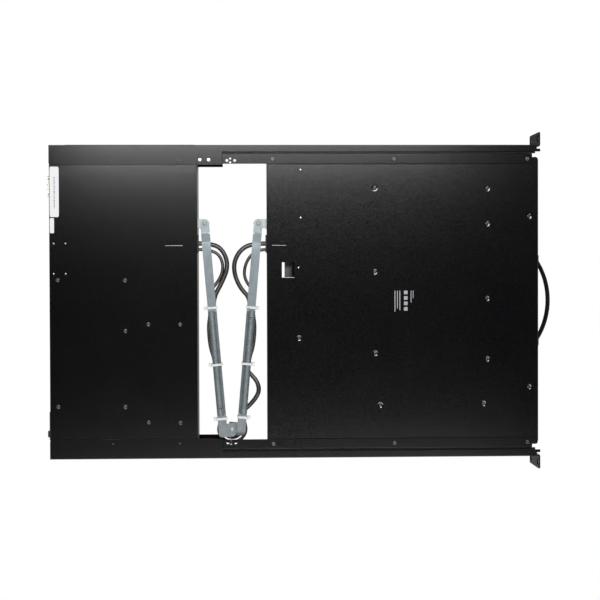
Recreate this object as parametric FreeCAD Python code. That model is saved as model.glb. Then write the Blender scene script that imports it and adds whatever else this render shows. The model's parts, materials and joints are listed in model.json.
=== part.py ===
import FreeCAD, Part
import math
import os

os.makedirs("parts", exist_ok=True)
V = FreeCAD.Vector

# A one-unit rack console drawer: a chassis of two folded channels with a switch module at its
# rear, and a drawer on ball slides that carries a keyboard and a hinged display lid.  A folding
# cable arm joins the drawer to the module.
# +X is the user's right, +Y runs into the rack, +Z is up.  Heights below are above the underside;
# save() puts the origin at the centre of the rack slots, on the front face of the ears.

# ---- Driving dimensions, in millimetres ---------------------------------------------------------

# chassis
rack_width = 482.6
ear_reach = 18.3
body_depth = 700.0
unit_height = 44.0
channel_sheet = 1.5
narrow_flange = 9.5
wide_flange = 28.0
wide_top_flange = 26.6
wide_flange_lead = 35.5
rear_corner_radius = 3.0
bend_radius = 1.0
ear_end_gap = 0.3
ear_thickness = 2.0
ear_corner_radius = 2.0
slot_inset = 8.75
slot_spacing_z = 31.75
slot_length = 10.0
slot_width = 6.6
relief_length = 3.0
nub_width = 4.0
nub_chamfer = 1.0
web_screw_ys = (57.7, 249.0, 370.0)
module_screw_from_front = 15.5
module_screw_from_rear = 10.4
web_screw_head_radius = 3.6
web_screw_head_height = 0.7
web_screw_shank_radius = 1.9
flange_rivet_leads = (16.6, 4.4)
rivet_inset = 7.0
rivet_radius = 2.1
rivet_head_radius = 2.9
rivet_head_height = 0.5
side_plate_from_front = 2.5
side_plate_from_rear = 19.5
side_plate_thickness = 1.2
side_plate_height = 30.0
side_plate_radius = 6.0

# ball slides
slide_thickness = 11.1
slide_front = 6.0
slide_rear_gap = 10.5
slide_sheet = 1.2
slide_middle_sheet = 1.0
slide_inner_half_height = 9.0
ball_radius = 1.5
ball_clearance = 0.05
balls_per_row = 4
cage_thickness = 0.8
cage_width = 5.0
cage_front = 130.0
cage_length = 200.0
member_gap = 0.4
slide_step = 3.0
race_lip = 1.0

# drawer
drawer_sheet = 1.2
drawer_side_front = 11.7
drawer_side_overrun = 62.9
drawer_side_bottom = 0.5
drawer_side_drop = 11.5
drawer_side_slope = 14.0
drawer_strip_width = 14.1
strip_screw_from_rear = 8.5
strip_screw_fronts = (18.1, 209.3)
strip_screw_inset = 7.4
strip_hole_inset = 9.4
strip_hole_pitch = 11.0
strip_hole_radius = 2.0
strip_small_hole_radius = 1.5
strip_small_hole_pitch = 5.3
tray_front = 3.3
bay_depth = 99.1
tray_side_gap = 3.3
tray_corner_chamfer = 2.0
deck_top = 16.0
deck_rear_gap = 16.0
deck_front_setback = 1.4
deck_fit_gap = 0.2
dimple_radius = 5.0
dimple_wall = 0.4
dimple_depth = 0.6
small_screw_head_radius = 2.9
small_screw_shank_radius = 1.5
screw_bite = 3.0
keyboard_boss_radius = 3.6
window_from_rear = (39.1, 21.4)
window_span = (-56.0, -33.7)
tray_slot_from_rear = (27.6, 7.3)
tray_slot_span = (-85.4, -79.7)
keyboard_screws = ((-161.8, 237.2), (-42.3, 237.2), (74.7, 236.6), (149.0, 229.6), (-161.1, 76.1),
                   (-110.7, 76.1), (-3.4, 76.1), (83.7, 76.1), (148.0, 81.5))
deck_front_screws = ((-121.1, 15.9), (124.2, 15.9))
deck_rear_screw_x = 52.3
deck_rear_screw_inset = 10.3
deck_post_radius = 3.6
cross_member_depth = 19.4
cross_member_top = 26.6

# keyboard
key_columns = 22.5
key_row_count = 6
keyboard_wall = 2.0
keyboard_margin = 1.25
key_gap = 0.9
key_top_inset = 1.7
key_row_gap = 8.0
key_area_front = 92.0
key_area_margin = 1.2
keycap_top = 19.4
key_skirt_bottom = 12.0
keyboard_front = 70.0
keyboard_rear = 243.0
keyboard_floor = 10.0
keyboard_side_gap = 6.9
space_bar_units = 6.25
space_bar_travel = 2.4
space_bar_lift = space_bar_travel + 0.4
space_stem_radius = 1.5
space_stem_reach = 4.0
stem_clearance = 0.1
touchpad_width = 66.0
touchpad_front = 30.0
touchpad_rear = 66.0
touchpad_frame = 3.0
touch_button_front = 16.0
touch_button_rear = 28.0
touch_button_proud = 0.4
touch_button_travel = 0.8
button_gap = 0.3
touchpad_board_top = 13.0

# display lid
lid_front = -3.5
lid_hinge_gap = 9.0
lid_side_gap = 17.3
lid_bottom = 21.0
lid_top_gap = 0.5
lid_sheet = 1.5
lid_edge_radius = 2.0
bezel_thickness = 2.0
bezel_side = 17.55
bezel_front = 30.95
bezel_rear = 36.45
panel_side_margin = 9.85
panel_end_margin = 11.45
panel_recess = 0.8
display_board_space = 8.0
display_board_thickness = 1.6
display_board_lift = 2.0
display_board_span = (-70.0, 60.0, -58.0, 52.0)
display_board_parts = ((50.0, 40.0, 28.0, 28.0, 1.6), (10.0, 10.0, 30.0, 7.0, 3.9),
                       (90.0, 85.0, 28.0, 7.0, 3.4))
display_post_radius = 2.5
display_post_inset = 6.0
hinge_axis_inset = 2.0
hinge_axis_z = 32.0
hinge_barrel_radius = 4.5
hinge_pin_radius = 2.0
hinge_pin_clearance = 0.05
hinge_inset = 55.7
hinge_barrel_length = 20.0
hinge_knuckle_length = 17.0
hinge_end_gap = 0.3
hinge_flange_thickness = 1.5
hinge_flange_below = 6.5
hinge_flange_above = 7.5
hinge_tongue_below = 2.5
hinge_base_thickness = 1.5
hinge_base_lead = 1.0
hinge_web_depth = 12.0
hinge_head_thickness = 1.2
bumper_radius = 4.0
bumper_inset_x = 12.0
bumper_front_inset = 15.5
bumper_rear_inset = 17.0
bumper_taper = 0.8
bumper_rest_gap = 0.05
osd_button_count = 4
osd_button_radius = 2.5
osd_button_pitch = 12.0
osd_button_travel = 0.5
osd_button_proud = osd_button_travel + 0.1
osd_button_gap = 0.2
osd_first_inset = 85.7
osd_button_inset = 13.0
osd_collar_width = 1.0
osd_collar_thickness = 1.2
osd_collar_gap = 0.1
catch_width = 18.0
catch_height = 8.0
catch_inset = 37.7
catch_keeper_margin = 2.0
catch_rib_pitch = 3.0
catch_rib_width = 1.0
catch_rib_depth = 0.5
catch_set_back = 0.2
catch_travel = 5.0
catch_gap = 0.3
catch_thickness = 1.2

# bow handle
handle_half_chord = 59.0
handle_reach = 17.5
handle_thickness = 2.5
handle_height = 12.0
handle_centre_lift = 7.5
handle_foot_length = 9.0

# switch module
module_front = 490.5
module_sheet = 1.0
module_bend_radius = 0.8
module_side_gap = 0.3
module_rear_screw_x = -31.6
module_rear_side_screw_inset = 72.8
module_rear_screw_inset = 11.5
module_middle_screws = ((-31.1, 102.8), (41.1, 102.5), (31.8, 69.9), (32.1, 24.7))
module_side_screws = ((71.9, 102.8), (49.8, 69.9), (48.8, 24.7))
flange_screw_insets = (25.5, 120.5)
flange_screw_inset = 6.0
module_slot_span = (-86.0, -79.7)
module_slot_insets = (20.6, 45.0)
cover_lip_inset = 8.0
cover_lip_drop = 8.0
cover_lip_gap = 0.2
board_bottom = 8.0
board_thickness = 1.6
board_side_inset = 16.2
board_front_inset = 9.5
board_post_inset = 6.0
board_post_radius = 3.0
switch_board_right = 20.0
switch_board_rear_inset = 10.0
switch_board_left_parts = ((55.0, 60.0, 28.0, 6.0, 8.0), (95.0, 8.0, 34.0, 6.0, 9.0))
switch_board_right_parts = ((90.0, 90.0, 28.0, 28.0, 1.8), (40.0, 100.0, 20.0, 12.0, 1.4),
                            (80.0, 8.0, 24.0, 6.0, 9.0))
capacitor_count = 4
capacitor_pitch = 14.0
capacitor_radius = 4.0
capacitor_height = 9.0
capacitor_insets = (20.0, 40.0)
supply_board_left = 40.0
supply_board_rear_inset = 45.0
supply_board_parts = ((60.0, 60.0, 30.0, 28.0, 22.0), (105.0, 50.0, 3.0, 50.0, 24.0),
                      (45.0, 50.0, 3.0, 50.0, 24.0), (20.0, 20.0, 18.0, 12.0, 10.0))
supply_capacitor_radius = 11.0
supply_capacitor_height = 24.0
supply_capacitor_inset = 35.0
video_inset = 55.2
video_z = 20.0
video_shell_width = 17.0
video_shell_height = 8.4
video_shell_taper = 1.6
video_flange_width = 31.0
video_flange_height = 12.5
video_screw_half_pitch = 12.5
video_reach = 6.0
inlet_side_inset = 23.8
inlet_width = 40.8
inlet_bottom = 9.0
inlet_top = 35.0
inlet_bezel = 2.4
inlet_recess_width = 24.0
inlet_recess_height = 16.5
inlet_recess_depth = 15.0
inlet_recess_chamfer = 4.0
inlet_body_depth = 22.0
inlet_wall = 1.6
rocker_width = 9.0
rocker_height = 18.0
rocker_radius = 15.0
rocker_tilt = 8.0
rocker_gap = 0.4
rocker_stub_radius = 1.2
rocker_stub_reach = 1.2

# cable arm
arm_sheet = 1.1
arm_width = 12.5
arm_pivot_x = -111.7
rear_pivot_reach = 10.2
front_pivot_reach = 12.2
elbow_side_gap = 25.0
elbow_inward = 13.0
arm_bracket_level = 10.4
rear_arm_level = 4.0
front_arm_level = 16.0
joggle_start = 13.5
joggle_end = 27.0
joggle_bend_radius = 3.0
arm_notch_depth = 1.7
arm_notch_width = 1.6
gusset_end = 24.0
trough_start = 126.0
trough_elbow_gap = 22.1
trough_width = 9.6
trough_depth = 2.0
trough_lip_rise = 1.15
trough_rim = 0.4
rib_pitch = 3.0
rib_width = 1.3
rib_height = 0.6
elbow_plate_before = 9.6
elbow_plate_after = 9.4
elbow_plate_overhang = 5.0
elbow_corner_radius = 4.6
arm_rivet_radius = 2.0
arm_rivet_head_radius = 3.0
arm_rivet_head_height = 1.2
elbow_rivet_radius = 2.6
elbow_rivet_head_radius = 3.6
running_clearance = 0.1
elbow_open_gap = 0.3
bracket_width = 13.5
bracket_sheet = 1.2
bracket_flange_height = 12.0
tie_starts = (120.9, 202.3)
last_tie_elbow_gap = 17.1
tie_strap_width = 3.4
tie_strap_thickness = 1.1
tie_head_length = 5.0
tie_head_width = 4.4
tie_gap = 0.1

# leads
thick_lead_diameter = 6.6
thin_lead_diameter = 4.6
lead_seat = 0.1
lead_x = -82.9
lead_gap = 3.0
lead_offset = 0.5
grommet_side_margin = 5.3
grommet_end_margin = 1.5
grommet_corner_radius = 3.0
thick_bend_radius = 11.6
thin_bend_radius = 20.0
elbow_bend_step = 22.0
elbow_bend_lift = 0.6
elbow_lead_straight = 5.0
elbow_rises = (0.5, 0.9, 1.0, 1.0)
grommet_lip = 1.7
grommet_lip_margin = 1.4

# ---- Derived places -----------------------------------------------------------------------------

body_width = rack_width - 2 * ear_reach
half_body = body_width / 2
slot_spacing_x = rack_width - 2 * slot_inset
ear_height = unit_height - 2 * ear_end_gap
web_inner = half_body - channel_sheet
mid_height = unit_height / 2
wide_flange_start = module_front - wide_flange_lead
flange_rivet_ys = [module_front - lead for lead in flange_rivet_leads]
module_web_screw_ys = (module_front + module_screw_from_front, body_depth - module_screw_from_rear)
slide_rear = module_front - slide_rear_gap
tray_rear = module_front - bay_depth
drawer_side_rear = tray_rear + drawer_side_overrun
drawer_side_height = unit_height - drawer_side_bottom - drawer_side_drop
strip_screw_ys = strip_screw_fronts + (tray_rear - strip_screw_from_rear,)
cross_member_front = tray_rear - cross_member_depth
deck_rear = cross_member_front - deck_rear_gap
deck_screws = deck_front_screws + ((deck_rear_screw_x, deck_rear - deck_rear_screw_inset),)
drawer_side_x = web_inner - slide_thickness
drawer_web_inner = drawer_side_x - drawer_sheet
tray_half_width = drawer_web_inner - tray_side_gap
tray_bottom = drawer_side_bottom + drawer_sheet
tray_floor = tray_bottom + drawer_sheet
deck_bottom = deck_top - drawer_sheet
keyboard_half_width = tray_half_width - keyboard_side_gap
key_area_width = 2 * (keyboard_half_width - keyboard_wall - keyboard_margin)
key_pitch = key_area_width / key_columns
key_area_rear = key_area_front + key_row_count * key_pitch + key_row_gap
hinge_axis_y = cross_member_front + hinge_axis_inset
lid_rear = hinge_axis_y - lid_hinge_gap
lid_top = unit_height - lid_top_gap
lid_half_width = half_body - lid_side_gap
screen_width = 2 * (lid_half_width - bezel_side)
screen_height = lid_rear - bezel_rear - lid_front - bezel_front
panel_frame_width = screen_width + 2 * panel_side_margin
panel_frame_height = screen_height + 2 * panel_end_margin
panel_thickness = lid_top - lid_sheet - display_board_space - lid_bottom - bezel_thickness
panel_centre_y = (lid_front + bezel_front + lid_rear - bezel_rear) / 2
hinge_inner_x = lid_half_width - hinge_inset
catch_x = lid_half_width - catch_inset
osd_first_x = lid_half_width - osd_first_inset
osd_button_y = lid_rear - osd_button_inset
handle_centre_z = lid_bottom + handle_centre_lift
module_half_width = web_inner - module_side_gap
module_bottom = channel_sheet
module_top = unit_height - channel_sheet - module_side_gap
module_screws = [(x, body_depth - module_rear_screw_inset)
                 for x in (module_rear_screw_x, module_half_width - module_rear_side_screw_inset)]
module_screws += [(x, module_front + inset) for x, inset in module_middle_screws]
module_screws += [(module_half_width - side, module_front + inset) for side, inset in module_side_screws]
flange_screw_ys = [module_front + inset for inset in flange_screw_insets]
switch_board_box = (board_side_inset - module_half_width, switch_board_right,
                    module_front + board_front_inset, body_depth - switch_board_rear_inset)
supply_board_box = (supply_board_left, module_half_width - board_side_inset,
                    module_front + board_front_inset, body_depth - supply_board_rear_inset)
video_x = video_inset - module_half_width
inlet_right = module_half_width - inlet_side_inset
inlet_left = inlet_right - inlet_width
rear_pivot_y = module_front - rear_pivot_reach
front_pivot_y = tray_rear + front_pivot_reach
elbow_along = drawer_side_x - arm_pivot_x - elbow_side_gap
trough_end = elbow_along - trough_elbow_gap
elbow_plate_start = elbow_along - elbow_plate_before
elbow_plate_end = elbow_along + elbow_plate_after
tie_positions = tie_starts + (elbow_along - last_tie_elbow_gap,)
lead_spacing = (thick_lead_diameter + thin_lead_diameter) / 2 + lead_gap
grommet_width = lead_spacing + thick_lead_diameter + 2 * grommet_side_margin
grommet_height = thick_lead_diameter + 2 * grommet_end_margin
elbow_reach = math.hypot(elbow_along, elbow_inward)
elbow_half_gap = (rear_pivot_y - front_pivot_y) / 2
arm_rest_angle = math.degrees(math.asin(elbow_half_gap / elbow_reach)
                              - math.atan2(elbow_inward, elbow_along))


# ---- Small builders -----------------------------------------------------------------------------

def box(x0, x1, y0, y1, z0, z1):
    """A block between two opposite corners."""
    return Part.makeBox(x1 - x0, y1 - y0, z1 - z0, V(x0, y0, z0))


def disc(x, y, z0, z1, radius):
    """An upright cylinder."""
    return Part.makeCylinder(radius, z1 - z0, V(x, y, z0))


def rod(start, direction, length, radius):
    """A cylinder from a point along a direction."""
    return Part.makeCylinder(radius, length, V(*start), V(*direction))


def polygon_face(points):
    """A flat face inside a closed outline of points."""
    return Part.Face(Part.makePolygon([V(*p) for p in points] + [V(*points[0])]))


def along_x(points, x0, x1):
    """An outline in Y and Z, carried from x0 to x1."""
    return polygon_face([(x0, y, z) for y, z in points]).extrude(V(x1 - x0, 0, 0))


def along_y(points, y0, y1):
    """An outline in X and Z, carried from y0 to y1."""
    return polygon_face([(x, y0, z) for x, z in points]).extrude(V(0, y1 - y0, 0))


def along_z(points, z0, z1):
    """An outline in X and Y, carried from z0 to z1."""
    return polygon_face([(x, y, z0) for x, y in points]).extrude(V(0, 0, z1 - z0))


def fused(shapes):
    """One solid from pieces that touch or overlap."""
    return shapes[0].multiFuse(list(shapes[1:])).removeSplitter()


def cut_all(shape, tools):
    """The shape less every tool."""
    return shape.cut(Part.makeCompound(list(tools))) if tools else shape


def mirror_x(shape):
    """The same piece on the other side of the console."""
    return shape.mirror(V(0, 0, 0), V(1, 0, 0))


def both_sides(shape):
    """A piece and its mirror image."""
    return [shape, mirror_x(shape)]


def round_upright_edges(shape, radius, wanted):
    """Round the upright edges whose middle satisfies wanted(x, y)."""
    edges = []
    for edge in shape.Edges:
        a, b = edge.Vertexes[0].Point, edge.Vertexes[-1].Point
        if abs(a.x - b.x) < 1e-6 and abs(a.y - b.y) < 1e-6 and wanted(a.x, a.y):
            edges.append(edge)
    return shape.makeFillet(radius, edges) if edges else shape


def round_bends(shape, radius, wanted):
    """Round the outside of the folds whose straight edges run from a to b with wanted(a, b)."""
    edges = [e for e in shape.Edges if wanted(e.Vertexes[0].Point, e.Vertexes[-1].Point)]
    return shape.makeFillet(radius, edges)


def same(*values):
    """Whether all values are equal, apart from rounding."""
    return max(values) - min(values) < 1e-6


def rounded_slab(x0, x1, y0, y1, z0, z1, radius):
    """A slab with four rounded upright corners."""
    return round_upright_edges(box(x0, x1, y0, y1, z0, z1), radius, lambda x, y: True)


def stadium(cx, cz, length, width, y0, y1):
    """A slot's cutter: long in X, with round ends, through Y."""
    half = (length - width) / 2
    middle = box(cx - half, cx + half, y0, y1, cz - width / 2, cz + width / 2)
    ends = [rod((cx + s * half, y0, cz), (0, 1, 0), y1 - y0, width / 2) for s in (-1, 1)]
    return fused([middle] + ends)


def sheet_outline(points, thickness):
    """A folded sheet's outline: a chain of 2-D points and the same chain moved to its left."""
    moved = []
    count = len(points)
    for i, (x, y) in enumerate(points):
        normals = []
        for j in (i - 1, i):
            if 0 <= j < count - 1:
                dx, dy = points[j + 1][0] - points[j][0], points[j + 1][1] - points[j][1]
                length = math.hypot(dx, dy)
                normals.append((-dy / length, dx / length))
        nx = sum(n[0] for n in normals) / len(normals)
        ny = sum(n[1] for n in normals) / len(normals)
        square = nx * nx + ny * ny
        moved.append((x + thickness * nx / square, y + thickness * ny / square))
    return list(points) + moved[::-1]


def tube(points, diameter, name):
    """A lead: straight runs joined by tangent arcs, as wide as their runs allow."""
    places = [V(*p) for p in points]
    edges = []
    radii = []
    here = places[0]
    for before, corner, after in zip(places, places[1:], places[2:]):
        into, out = corner - before, after - corner
        turn = into.getAngle(out)
        shorter = min(into.Length, out.Length)
        radius = 0.45 * shorter / math.tan(turn / 2)
        reach = radius * math.tan(turn / 2)
        into.normalize()
        out.normalize()
        start, end = corner - into * reach, corner + out * reach
        towards = out - into
        towards.normalize()
        centre = corner + towards * (radius / math.cos(turn / 2))
        edges.append(Part.LineSegment(here, start).toShape())
        edges.append(Part.Arc(start, centre - towards * radius, end).toShape())
        radii.append(radius)
        here = end
    edges.append(Part.LineSegment(here, places[-1]).toShape())
    path = Part.Wire(edges)
    first = places[1] - places[0]
    section = Part.Wire([Part.Circle(places[0], first, diameter / 2).toShape()])
    solid = path.makePipeShell([section], True, False)
    expected = math.pi * diameter ** 2 / 4 * path.Length
    print("%s: length %.1f, radii %s, volume ratio %.4f"
          % (name, path.Length, " ".join("%.0f" % r for r in radii), solid.Volume / expected))
    return solid


def save(name, *shapes):
    """Write one node, with the origin at the centre of the rack slots."""
    solids = []
    for shape in shapes:
        solids += shape.Solids
    whole = solids[0] if len(solids) == 1 else Part.makeCompound(solids)
    whole = whole.copy()
    whole.translate(V(0, 0, -mid_height))
    whole.exportStep("parts/%s.step" % name)


# ---- Chassis ------------------------------------------------------------------------------------

def web_screw_holes(ys, reach):
    """Cutters for the screws through the right channel's web."""
    return [rod((half_body - reach, y, mid_height), (1, 0, 0), reach, web_screw_shank_radius) for y in ys]


def side_channel():
    """The right side channel: web, two flanges that widen at the rear, and the rack ear."""
    def flange(wide, z0):
        outline = [(half_body, ear_thickness + relief_length),
                   (half_body - narrow_flange + nub_width, ear_thickness + relief_length),
                   (half_body - narrow_flange + nub_width, nub_chamfer),
                   (half_body - narrow_flange + nub_width - nub_chamfer, 0),
                   (half_body - narrow_flange, 0),
                   (half_body - narrow_flange, wide_flange_start),
                   (half_body - wide, wide_flange_start),
                   (half_body - wide, body_depth), (half_body, body_depth)]
        plate = along_z(outline, z0, z0 + channel_sheet)
        return round_upright_edges(plate, rear_corner_radius, lambda x, y: x < half_body and y == body_depth)

    web = box(web_inner, half_body, 0, body_depth, channel_sheet, unit_height - channel_sheet)
    edge = box(web_inner, half_body, ear_thickness + relief_length, body_depth, 0, unit_height)
    ear = box(web_inner, rack_width / 2, 0, ear_thickness,
              mid_height - ear_height / 2, mid_height + ear_height / 2)
    ear = ear.cut(box(web_inner, half_body, 0, ear_thickness, 0, channel_sheet))
    ear = ear.cut(box(web_inner, half_body, 0, ear_thickness, unit_height - channel_sheet, unit_height))
    ear_edges = [e for e in ear.Edges if abs(e.Vertexes[0].X - rack_width / 2) < 1e-6
                 and abs(e.Vertexes[-1].X - rack_width / 2) < 1e-6
                 and abs(e.Vertexes[0].Z - e.Vertexes[-1].Z) < 1e-6]
    ear = ear.makeFillet(ear_corner_radius, ear_edges)
    channel = fused([web, edge, ear, flange(wide_flange, 0),
                     flange(wide_top_flange, unit_height - channel_sheet)])
    channel = round_bends(channel, bend_radius, lambda a, b: same(a.x, b.x, half_body) and same(a.z, b.z)
                          and (same(a.z, 0) or same(a.z, unit_height)))
    cutters = [stadium(slot_spacing_x / 2, mid_height + s * slot_spacing_z / 2, slot_length, slot_width,
                       0, ear_thickness) for s in (-1, 1)]
    cutters += web_screw_holes(web_screw_ys + module_web_screw_ys, channel_sheet)
    flange_x = half_body - wide_flange + flange_screw_inset
    cutters += [disc(flange_x, y, 0, channel_sheet, small_screw_shank_radius) for y in flange_screw_ys]
    return cut_all(channel, cutters)


def flange_rivet_places():
    return [(-(half_body - wide_flange + rivet_inset), y) for y in flange_rivet_ys]


def left_side_channel():
    holes = [disc(x, y, 0, channel_sheet, rivet_radius) for x, y in flange_rivet_places()]
    return cut_all(mirror_x(side_channel()), holes)


def flange_rivets():
    """Two bright rivets in the left bottom flange."""
    rivets = []
    for x, y in flange_rivet_places():
        shank = disc(x, y, 0, channel_sheet, rivet_radius)
        top = disc(x, y, channel_sheet, channel_sheet + rivet_head_height, rivet_head_radius)
        rivets.append(fused([shank, top]))
    return rivets


def left_side_plate():
    """A thin plate with round corners on the outer face of the left channel."""
    x0 = -half_body - side_plate_thickness
    plate = box(x0, -half_body, module_front + side_plate_from_front, body_depth - side_plate_from_rear,
                mid_height - side_plate_height / 2, mid_height + side_plate_height / 2)
    corners = [e for e in plate.Edges if abs(e.Vertexes[0].X - e.Vertexes[-1].X) > 1e-6]
    plate = plate.makeFillet(side_plate_radius, corners)
    hole = web_screw_head_radius + stem_clearance
    return cut_all(plate, [rod((x0, y, mid_height), (1, 0, 0), side_plate_thickness, hole)
                           for y in module_web_screw_ys])


def chassis_screws():
    """Pan-head screws through both webs, and countersunk ones in the wide flanges."""
    screws = []
    for ys, backing in ((web_screw_ys, slide_sheet), (module_web_screw_ys, module_side_gap + module_sheet)):
        for y in ys:
            head = rod((half_body, y, mid_height), (1, 0, 0), web_screw_head_height, web_screw_head_radius)
            reach = channel_sheet + backing
            shank = rod((half_body - reach, y, mid_height), (1, 0, 0), reach, web_screw_shank_radius)
            screws += both_sides(fused([head, shank]))
    flange_x = half_body - wide_flange + flange_screw_inset
    for y in flange_screw_ys:
        shank = disc(flange_x, y, 0, module_bottom + module_sheet, small_screw_shank_radius)
        screws += both_sides(shank)
    for x, y in module_screws:
        head = disc(x, y, module_bottom - dimple_depth, module_bottom, small_screw_head_radius)
        shank = disc(x, y, module_bottom, module_bottom + module_sheet, small_screw_shank_radius)
        screws.append(fused([head, shank]))
    return screws


# ---- Ball slides --------------------------------------------------------------------------------

middle_flange_inner = slide_inner_half_height + 2 * (ball_radius + ball_clearance)
middle_half_height = middle_flange_inner + slide_middle_sheet
outer_lip_inner = middle_half_height + 2 * (ball_radius + ball_clearance)
outer_half_height = outer_lip_inner + slide_sheet
lip_depth = slide_thickness - slide_sheet + 0.1
ball_t = slide_sheet + member_gap + (slide_thickness - slide_sheet) / 2 - 1.0


def slide_member(outline, y0, y1):
    """A slide member from its section: t inward from the channel's web, h above mid height."""
    return along_y([(web_inner - t, mid_height + h) for t, h in outline], y0, y1)


def outer_outline():
    s, top = slide_sheet, outer_half_height
    upper = [(lip_depth, top), (lip_depth, top - s - race_lip), (lip_depth - race_lip, top - s - race_lip),
             (lip_depth - race_lip, top - s), (s, top - s)]
    return [(0, -top), (0, top)] + upper + [(t, -h) for t, h in upper[::-1]]


def middle_outline():
    s, top, back = slide_middle_sheet, middle_half_height, slide_sheet + member_gap
    upper = [(back, top), (lip_depth, top), (lip_depth, top - s), (back + s, top - s)]
    return upper + [(t, -h) for t, h in upper[::-1]]


def inner_outline():
    s, top, face = slide_sheet, slide_inner_half_height, slide_thickness
    upper = [(face, top), (slide_sheet + member_gap + slide_middle_sheet + 1.0, top),
             (slide_sheet + member_gap + slide_middle_sheet + 1.0, top - s), (face - s, top - s)]
    return upper + [(t, -h) for t, h in upper[::-1]]


def slide_outer():
    member = slide_member(outer_outline(), slide_front, slide_rear)
    return cut_all(member, web_screw_holes(web_screw_ys, channel_sheet + slide_sheet))


def slide_middle():
    return slide_member(middle_outline(), slide_front + slide_step, slide_rear - 6 * slide_step)


def slide_inner():
    return slide_member(inner_outline(), drawer_side_front, drawer_side_rear)


def ball_cage(height):
    """One row of balls in its strip, above or below mid height, on the right side."""
    x = web_inner - ball_t
    strip = box(x - cage_width / 2, x + cage_width / 2, cage_front, cage_front + cage_length,
                mid_height + height - cage_thickness / 2, mid_height + height + cage_thickness / 2)
    pitch = cage_length / balls_per_row
    places = [V(x, cage_front + (i + 0.5) * pitch, mid_height + height) for i in range(balls_per_row)]
    balls = [Part.makeSphere(ball_radius, p) for p in places]
    return fused([strip] + balls)


def ball_cages(height):
    rows = []
    for h in (-height, height):
        rows += both_sides(ball_cage(h))
    return rows


# ---- Drawer -------------------------------------------------------------------------------------

def drawer_side():
    """The right drawer side: an upright web with a bottom strip that carries the tray."""
    x0 = drawer_side_x - drawer_strip_width
    base, top = drawer_side_bottom, drawer_side_bottom + drawer_side_height
    outline = sheet_outline([(drawer_side_x, top), (drawer_side_x, base), (x0, base)], -drawer_sheet)
    side = along_y(outline, drawer_side_front, drawer_side_rear)
    side = round_bends(side, bend_radius,
                       lambda a, b: same(a.x, b.x, drawer_side_x) and same(a.z, b.z, base))
    slope = [(drawer_side_front, top - drawer_side_slope), (drawer_side_front, top),
             (drawer_side_front + drawer_side_slope, top)]
    side = side.cut(along_x(slope, drawer_web_inner, drawer_side_x))
    holes = []
    for y in strip_screw_ys:
        x = drawer_side_x - strip_screw_inset
        holes.append(disc(x, y, base, base + dimple_depth, small_screw_head_radius))
        holes.append(disc(x, y, base, base + drawer_sheet, small_screw_shank_radius))
    hole_x = drawer_side_x - strip_hole_inset
    mid_y = drawer_side_rear - strip_hole_pitch - 1.0
    for offset in (-strip_hole_pitch / 2, strip_hole_pitch / 2):
        holes.append(disc(hole_x, mid_y + offset, base, base + drawer_sheet, strip_hole_radius))
    for offset in (-strip_small_hole_pitch / 2, strip_small_hole_pitch / 2):
        holes.append(disc(hole_x + offset, mid_y + 0.9, base, base + drawer_sheet, strip_small_hole_radius))
    return cut_all(side, holes)


def drawer_tray():
    """The folded bottom tray with its side walls, rear wall, window, slot and screw dimples."""
    w, t = tray_half_width, drawer_sheet
    c = tray_corner_chamfer
    floor = along_z([(-w + c, tray_front), (w - c, tray_front), (w, tray_front + c), (w, tray_rear),
                     (-w, tray_rear), (-w, tray_front + c)], tray_bottom, tray_floor)
    pieces = [floor, box(-w, w, tray_rear - t, tray_rear, tray_floor, cross_member_top - t)]
    pieces += both_sides(box(w - t, w, tray_front + c, deck_rear, tray_floor, deck_bottom))
    tray = fused(pieces)
    tray = round_bends(tray, bend_radius, lambda a, b: same(a.z, b.z, tray_bottom)
                       and (same(a.y, b.y, tray_rear) or same(abs(a.x), abs(b.x), w)))
    tray = tray.multiFuse([disc(x, y, tray_floor, tray_floor + dimple_depth, dimple_radius)
                           for x, y in keyboard_screws + deck_screws]).removeSplitter()
    holes = []
    for (x0, x1), (start, end) in ((window_span, window_from_rear), (tray_slot_span, tray_slot_from_rear)):
        holes.append(box(x0, x1, tray_rear - start, tray_rear - end, tray_bottom, tray_floor))
    for x, y in keyboard_screws + deck_screws:
        holes.append(disc(x, y, tray_bottom, tray_bottom + dimple_depth, dimple_radius - dimple_wall))
        holes.append(disc(x, y, tray_bottom, tray_floor + dimple_depth, small_screw_shank_radius))
    for side in (-1, 1):
        for y in strip_screw_ys:
            x = side * (drawer_side_x - strip_screw_inset)
            holes.append(disc(x, y, tray_bottom, tray_floor, small_screw_shank_radius))
    holes.append(grommet_hole(tray_rear - t, tray_rear, front_lead_z))
    return cut_all(tray, holes)


def hinge_cross_member():
    """A folded member across the rear of the tray: front wall and top, closed by the tray's wall."""
    w = tray_half_width
    outline = sheet_outline([(cross_member_front, tray_floor), (cross_member_front, cross_member_top),
                             (tray_rear, cross_member_top)], -drawer_sheet)
    return along_x(outline, -w, w)


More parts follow.
